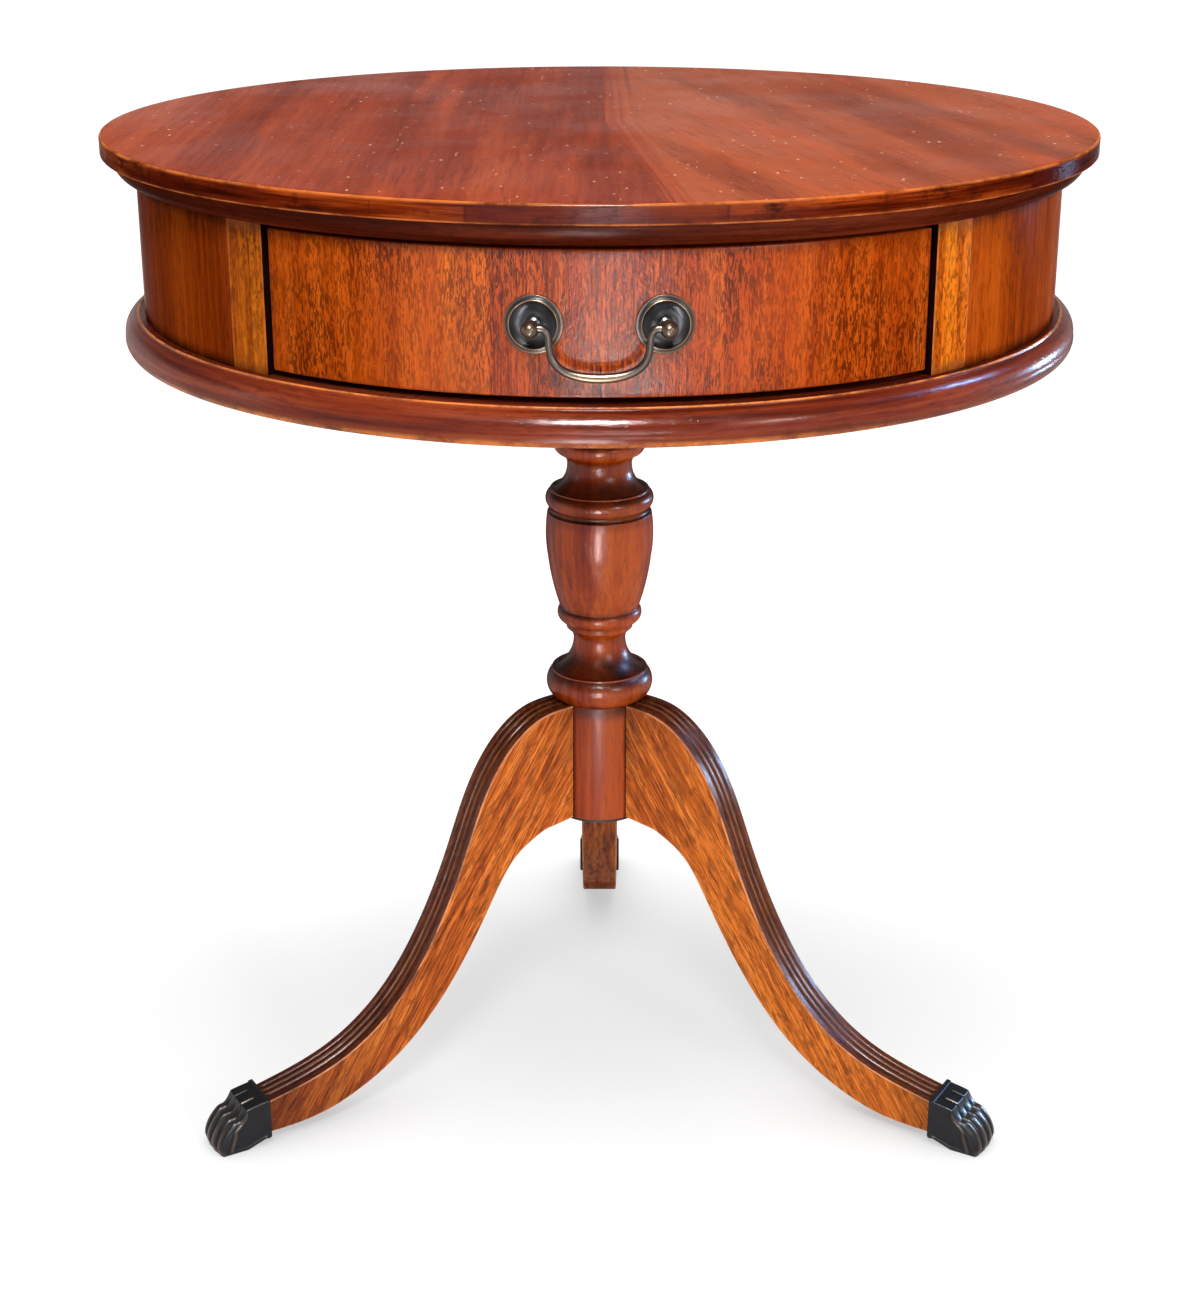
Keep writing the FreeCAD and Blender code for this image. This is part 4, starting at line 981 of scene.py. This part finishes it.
# A darker copy of the moulding wood for the ovolo: partly its own tone, partly painted shade under the top.
shaded_ovolo_finish = mahogany(
    "ovolo wood", (58, 14, 5), (92, 32, 14), (124, 50, 26), broad=70, fleck=0.45, shine=0.05,
    fade=(0.05, 0.4), worn=(168, 76, 36), film=0.14, rough=0.2)
finishes["drum_veneer"] = mahogany(
    "drum veneer", (124, 42, 4), (168, 68, 10), (196, 88, 20), broad=15, contrast=1.1, fleck=0.6, pores=0.4,
    shine=0.05, fade=(0.1, 0.5), tint=left_side_shade)
finishes["stile_wood"] = mahogany(
    "stile wood", (166, 66, 2), (230, 114, 14), (255, 150, 36), broad=60, fleck=1.0, fleck_size=(460, 100),
    fleck_wave=1.6, fleck_cut=(0.46, 0.56), dirt_and_shade_gain=0.8, worn=(232, 130, 56), wear_gain=0.65, shine=0.02,
    tint=left_side_shade)

# %% [markdown]
# ## Drawer front
# The front is veneered in upright leaves: orange with dark wavy flecks at both sides, one paler leaf
# left of the pull, and a redder, glossier middle whose polish has crazed into tiny plates. A short
# crack runs up from the lower edge.

# %% Drawer finish
def drawer_leaves(m, colour, grain, place):
    """A ramp across the front colours the leaves; the middle gets fine lines, and one crack is drawn in."""
    across = m.part(grain, 0)
    leaves = [(0.0, (168, 72, 16)), (0.288, (180, 74, 14)), (0.292, (214, 104, 30)), (0.350, (210, 98, 28)),
              (0.354, (170, 62, 22)), (0.50, (152, 54, 28)), (0.63, (168, 62, 20)), (0.72, (172, 66, 14)),
              (1.0, (146, 54, 12))]
    spread = {"Value": across, "From Min": -0.22, "From Max": 0.22}
    linear = m.add("ShaderNodeMapRange", spread).outputs[0]
    colour = m.mix(0.55, colour, m.ramp(linear, [(spot, srgb(*tone)) for spot, tone in leaves]))
    centre = m.times(m.range(linear, 0.350, 0.356), m.range(linear, 0.72, 0.60))
    lines = m.range(m.noise(m.stretch(grain, (800, 800, 26)), 2, 0.5, 0.3), 0.52, 0.60)
    colour = m.mix(m.times(lines, centre, 0.6), colour, srgb(92, 24, 8))
    wander = m.times(m.noise(m.stretch(grain, (1, 1, 90))), 0.0012)
    side = m.math("ABSOLUTE", m.math("SUBTRACT", across, wander))
    crack = m.times(m.range(side, 0.0009, 0.0003), m.range(m.part(grain, 2), 0.629, 0.623))
    return m.mix(crack, colour, srgb(30, 9, 5))


finishes["drawer_veneer"] = mahogany(
    "drawer veneer", (146, 46, 2), (192, 78, 10), (228, 108, 28), broad=60, fleck=1.0, fleck_size=(560, 100),
    fleck_wave=1.6, fleck_cut=(0.46, 0.54), pores=0.6, rough=0.14, shine=0.3, fade=(0.03, 0.2),
    tint=drawer_leaves, film=0.24, skin_size=420, worn=(150, 60, 24), wear_gain=0.6)

# %% [markdown]
# ## Column and legs
# Column and legs are solid wood. The legs' sides show long dark streaks that cross them aslant, because
# each leg is sawn from a straight board; their fluted tops are darker, with polish, dust and painted shade
# in the flutes. The right leg is painted lighter, and the left leg towards its foot and the rear leg
# darker, as light and shade.

# %% Column and leg finishes
def leg_tops(m, colour, grain, place):
    """Dark streaks and flame figure, painted light on the right leg, painted shade on the others, dark on the
    flutes.
    """
    x, y = m.part(place, 0), m.part(place, 1)
    long = m.noise(m.stretch(grain, (900, 200, 24)), 3, 0.6)
    colour = m.mix(m.times(m.range(long, 0.50, 0.60), 0.6), colour, srgb(84, 30, 8))
    # Painted light: the right leg is lifted towards a bright orange.
    colour = m.mix(m.range(x, 0.03, 0.10, 0.0, 0.3), colour, srgb(252, 140, 40))
    flame = m.noise(m.stretch(grain, (150, 150, 45)), 4, 0.6, 1.2)
    colour = m.mix(m.range(flame, 0.50, 0.64, 0.0, 0.55), colour, srgb(116, 48, 12))
    # Painted shade: the left leg towards its foot and the rear leg are darkened.
    painted_shade = m.math("MAXIMUM", m.range(x, -0.10, -0.25, 0.0, 0.6), m.range(y, 0.05, 0.15, 0.0, 0.5))
    colour = m.mix(painted_shade, colour, srgb(104, 44, 22))
    return m.mix(m.times(m.field("fluted"), 0.82), colour, srgb(64, 25, 20))


def shaft_shade(m, colour, grain, place):
    """The shaft with the ring above it and the ring over the vase are darker than the rest."""
    height = m.part(place, 2)
    ring = m.times(m.range(height, 0.434, 0.440), m.range(height, 0.486, 0.474, 0.0, 0.36))
    low = m.range(height, 0.330, 0.318, 0.0, 0.36)
    return m.mix(m.math("MAXIMUM", low, ring), colour, srgb(84, 24, 10))


finishes["column_wood"] = mahogany(
    "column wood", (112, 28, 2), (172, 60, 10), (212, 94, 26), broad=16, fine=150, fleck=0.3, pores=0.25,
    contrast=1.1, dirt_and_shade_gain=1.3, rough=0.17, shine=0.25, fade=(0.15, 0.8), film=0.03, worn=(168, 78, 44),
    wear_gain=0.4, tint=shaft_shade)
finishes["leg_wood"] = mahogany(
    "leg wood", (164, 70, 16), (220, 110, 34), (250, 144, 58), broad=240, fine=900, fleck=0.8,
    fleck_size=(1000, 70), tint=leg_tops, worn=(232, 146, 90), dirt_and_shade_gain=0.85, rough=0.2, shine=0.14)
print(len(finishes), "wood finishes")

# %% [markdown]
# ## Old bronze and brass
# The paws are near-black bronze with brown showing where they are rubbed; the pull is brass gone brown.
# One recipe serves both: a clouded film over the metal, thinner where the wear attribute says that hands
# and brooms have rubbed it, and dark where dirt sits.

# %% Metals
def old_metal(name, film, bright, rough=0.34, wear_gain=1.0, metal=0.8, cast=1.0):
    """Clouded dark film, bright where wear rubs it; cast sets how uneven the skin is."""
    m = Finish(bpy.data.materials.new(name))
    place, dirt = m.place(), m.field("dirt")
    cloud = m.noise(m.stretch(place, (110, 110, 110)), 5, 0.6)
    speck = m.noise(m.stretch(place, (800, 800, 800)), 3, 0.6)
    thin = tuple((1 + 0.7 * cast) * v for v in srgb(*film))
    colour = m.mix(m.range(cloud, 0.35, 0.7), srgb(*film), thin)
    rubbed = m.times(m.field("wear"), m.range(cloud, 0.36, 0.60, 1.0 - cast, 1.0))
    rubbed = m.math("MULTIPLY", rubbed, wear_gain, clamp=True)
    colour = m.mix(rubbed, colour, srgb(*bright))
    colour = m.mix(m.math("MULTIPLY", dirt, 0.8, clamp=True), colour, srgb(16, 13, 11))
    gloss = m.range(speck, 0.3, 0.7, rough - 0.08 * cast, rough + 0.10 * cast)
    gloss = m.math("ADD", gloss, m.times(dirt, 0.2))
    normal = m.bump(speck, 0.14 * cast, 0.0003, m.bump(cloud, 0.2 * cast, 0.0014))
    return m.surface(Base_Color=colour, Metallic=metal, Roughness=gloss, Normal=normal)


finishes["claw_bronze"] = old_metal(
    "claw bronze", (36, 36, 38), (112, 88, 70), rough=0.35, wear_gain=0.6, cast=0.3)
finishes["pull_brass"] = old_metal(
    "pull brass", (56, 56, 58), (122, 94, 62), rough=0.28, wear_gain=0.7, cast=0.06)


# %% [markdown]
# ## Inside woods and fixings
# The drawer's lining, the runners and the floor are plain unpolished boards, and the solids themselves
# stay: they only get a finish that reads the place in the object, turned to each board's length.

# %% Plain boards and steel
def plain_board(name, dark, light, along):
    """Streaks and threads of noise stretched along one axis, with stains over them."""
    m = Finish(bpy.data.materials.new(name))
    place = m.place()
    amounts = tuple(8.0 if axis == along else 110.0 for axis in "xyz")
    streak = m.noise(m.stretch(place, amounts), 5, 0.6, 0.4)
    thread = m.noise(m.stretch(place, tuple(8 * v for v in amounts)), 3, 0.6)
    stain = m.noise(m.stretch(place, (12, 12, 12)), 4)
    colour = m.ramp(m.range(streak, 0.3, 0.7), [(0.0, srgb(*dark)), (1.0, srgb(*light))])
    colour = m.mix(m.range(thread, 0.55, 0.75, 0.0, 0.5), colour, srgb(*dark))
    colour = m.mix(m.range(stain, 0.5, 0.8, 0.0, 0.5), colour, srgb(*dark))
    gloss = m.range(streak, 0.3, 0.7, 0.6, 0.75)
    return m.surface(Base_Color=colour, Roughness=gloss, Normal=m.bump(thread, 0.3, 0.0002))


def fixing_metal(name, base, rust, rough):
    """Two tones of clouded metal, duller where the second shows."""
    m = Finish(bpy.data.materials.new(name))
    cloud = m.noise(m.stretch(m.place(), (160, 160, 160)), 5, 0.65)
    colour = m.mix(m.range(cloud, 0.45, 0.7), srgb(*base), srgb(*rust))
    gloss = m.range(cloud, 0.3, 0.7, rough, rough + 0.3)
    return m.surface(Base_Color=colour, Metallic=0.8, Roughness=gloss, Normal=m.bump(cloud, 0.2, 0.0003))


linings = {along: plain_board("lining board " + along, (122, 84, 50), (176, 132, 86), along)
           for along in "xy"}
carcase = {along: plain_board("carcase board " + along, (98, 66, 38), (150, 108, 68), along)
           for along in "xyz"}
finishes["spider_iron"] = fixing_metal("spider iron", (52, 48, 46), (72, 46, 32), 0.45)
finishes["screw_steel"] = fixing_metal("screw steel", (140, 134, 124), (104, 74, 52), 0.3)

# %% [markdown]
# ## Giving out the finishes
# New pieces take the finish of their slot. The solids that stay are looked up by name: a short table
# sorts the boards by the way their grain runs and gives the plate under the legs its iron. All the rest
# are screws, nails, nuts and washers.

# %% Dress every piece
board_finish = {"spider_plate": finishes["spider_iron"]}
for boards, finish in (("drawer_side_left drawer_side_right", linings["y"]),
                       ("drawer_back drawer_bottom", linings["x"]),
                       ("stop_left stop_right drum_floor", carcase["x"]),
                       ("column_cleat runner_left runner_right kicker_left kicker_right", carcase["y"]),
                       ("glue_blocks_upper glue_blocks_lower", carcase["z"])):
    board_finish.update(dict.fromkeys(boards.split(), finish))
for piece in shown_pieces():
    solid = piece.get("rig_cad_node")
    material = board_finish.get(solid, finishes["screw_steel"]) if solid else finishes[piece["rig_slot"]]
    # The ovolo takes the darker copy, in part painted shade.
    if piece.name == "upper_moulding":
        material = shaded_ovolo_finish
    piece.data.materials.clear()
    piece.data.materials.append(material)

# %% [markdown]
# ## Floor and light
# The floor is pale and keeps a soft shadow. For the camera and for mirror-like rays it is partly a glow
# that fades to white far away and behind the table, so no extra light falls on the wood. Near the feet an
# occlusion test dims that glow, a painted contact shadow. The world is white round the horizon and
# dimmer overhead, so polished wood keeps its depth. A key lamp stands high in front, and lamps at the
# sides fill in. Cards that only mirror-like rays see draw the windows in the polish.

# %% Studio
WHITE = (1.0, 1.0, 1.0)


def lamp(name, place, target, size, watts, colour, gloss_only=False):
    """Area lamp turned so that its face looks from its place to the target."""
    data = bpy.data.lights.new(name, "AREA")
    data.shape, data.size, data.size_y = "RECTANGLE", *size
    data.energy, data.color = watts, colour
    item = into_scene(name, data)
    item.location = place
    x, y, z = np.array(target) - np.array(place)
    item.rotation_euler = (math.atan2(math.hypot(x, y), -z), 0, math.atan2(y, x) - math.pi / 2)
    item.visible_camera = False
    item.visible_diffuse = not gloss_only


def background_rays(m):
    """One where a ray comes from the camera, a glossy bounce or a transmission, and zero elsewhere."""
    path = m.add("ShaderNodeLightPath")
    seen = m.math("MAXIMUM", path.outputs["Is Camera Ray"], path.outputs["Is Glossy Ray"])
    return m.math("MAXIMUM", seen, path.outputs["Is Transmission Ray"])


floor_mesh = bpy.data.meshes.new("floor")
reach = 30.0
corners = [(x * reach, y * reach, 0) for x, y in ((-1, -1), (1, -1), (1, 1), (-1, 1))]
floor_mesh.from_pydata(corners, [], [(0, 1, 2, 3)])
floor = into_scene("floor", floor_mesh)
paper = Finish(bpy.data.materials.new("floor paper"))
oval = paper.stretch(paper.place(), (0.6, 1, 1), shift=(0, -0.06, 0))
far = paper.add("ShaderNodeVectorMath", {0: oval}, operation="LENGTH").outputs["Value"]
behind = paper.range(paper.part(paper.place(), 1), 0.1, 0.6, 0.0, 0.25)
outer = paper.math("MAXIMUM", behind, paper.range(far, 0.4, 1.4, 0.0, 0.25))
lift = paper.math("ADD", paper.range(far, 0.04, 0.30, 0.645, 0.825), outer)
seen = background_rays(paper)
tone = paper.mix(seen, (0.78, 0.80, 0.808, 1), (0.26, 0.267, 0.27, 1))
diffuse = paper.add("ShaderNodeBsdfDiffuse", {"Color": tone})
# Painted contact shadow: the glow dims where the occlusion test finds the table near.
painted_contact_shadow = paper.add("ShaderNodeAmbientOcclusion", {"Distance": 0.07}).outputs["AO"]
lift = paper.times(lift, paper.range(painted_contact_shadow, 0.25, 1.0, 0.62, 1.0))
glow = paper.add("ShaderNodeEmission", {"Color": (1, 1, 1, 1), "Strength": paper.times(seen, lift)})
both = paper.add("ShaderNodeAddShader", {0: diffuse.outputs[0], 1: glow.outputs[0]})
paper.add("ShaderNodeOutputMaterial", {"Surface": both.outputs[0]})
floor_mesh.materials.append(paper.owner)

world = bpy.data.worlds.new("studio")
bpy.context.scene.world = world
sky = Finish(world)
upward = sky.part(sky.add("ShaderNodeTexCoord").outputs["Generated"], 2)
band = sky.range(upward, 0.08, 0.30, 0.78, 0.0)
level = sky.math("ADD", sky.times(background_rays(sky), band), 0.22)
shell = sky.add("ShaderNodeBackground", {"Color": (1, 1, 1, 1), "Strength": level})
sky.add("ShaderNodeOutputWorld", {"Surface": shell.outputs[0]})

lamp("key", (-0.1, -1.9, 2.1), (0, 0, 0.5), (0.6, 0.6), 44, WHITE)
lamp("ceiling", (0.1, 0.2, 2.6), (0, 0, 0.5), (1.4, 1.4), 20, WHITE)
lamp("front_right", (1.5, -1.9, 1.2), (0, 0, 0.5), (0.4, 0.4), 18, WHITE)
lamp("left_panel", (-2.2, -0.3, 0.9), (0, 0, 0.45), (0.25, 1.2), 3, (0.95, 0.97, 1.0))
lamp("low_card", (0.1, -1.4, 0.34), (0.02, 0, 0.64), (0.5, 0.08), 2.2, (1.0, 0.97, 0.96), gloss_only=True)
lamp("front_window", (-0.05, -1.75, 2.2), (0, 0, 0.5), (0.55, 0.6), 180, (1.0, 0.97, 0.97), gloss_only=True)
lamp("edge_card", (0.05, -1.4, 0.545), (0, 0, 0.71), (0.3, 0.03), 0.75, (0.85, 0.9, 1.0), gloss_only=True)
lamp("floor_card", (-0.04, -0.8, 0.18), (0, 0, 0.4), (0.14, 0.36), 5.2, (0.92, 0.96, 1.0), gloss_only=True)
lamp("right_window", (2.0, 0.45, 1.9), (0, 0, 0.45), (0.35, 0.35), 55, (0.20, 0.48, 1.0), gloss_only=True)
lamp("rear_window", (1.9, 1.1, 0.5), (0, 0, 0.35), (0.3, 0.3), 48, (0.35, 0.62, 1.0), gloss_only=True)

# %% [markdown]
# ## Camera
# The camera stands where the round top, the drum and the feet line up with the photograph. Its lens
# comes from the focal length in pixels and the height of the frame.

# %% Camera
frame_height, focal_pixels, sensor = 1312, 2303.4, 36.0
camera_data = bpy.data.cameras.new("camera")
camera_data.sensor_fit = "VERTICAL"
camera_data.sensor_height = sensor
camera_data.lens = sensor * focal_pixels / frame_height
camera = into_scene("camera", camera_data)
camera.location = (0.0, -1.6317, 0.9403)
camera.rotation_euler = (math.radians(69.38), 0, 0)
bpy.context.scene.camera = camera
bpy.context.scene.view_settings.view_transform = "Standard"
print("lens", round(camera_data.lens, 2), "mm")
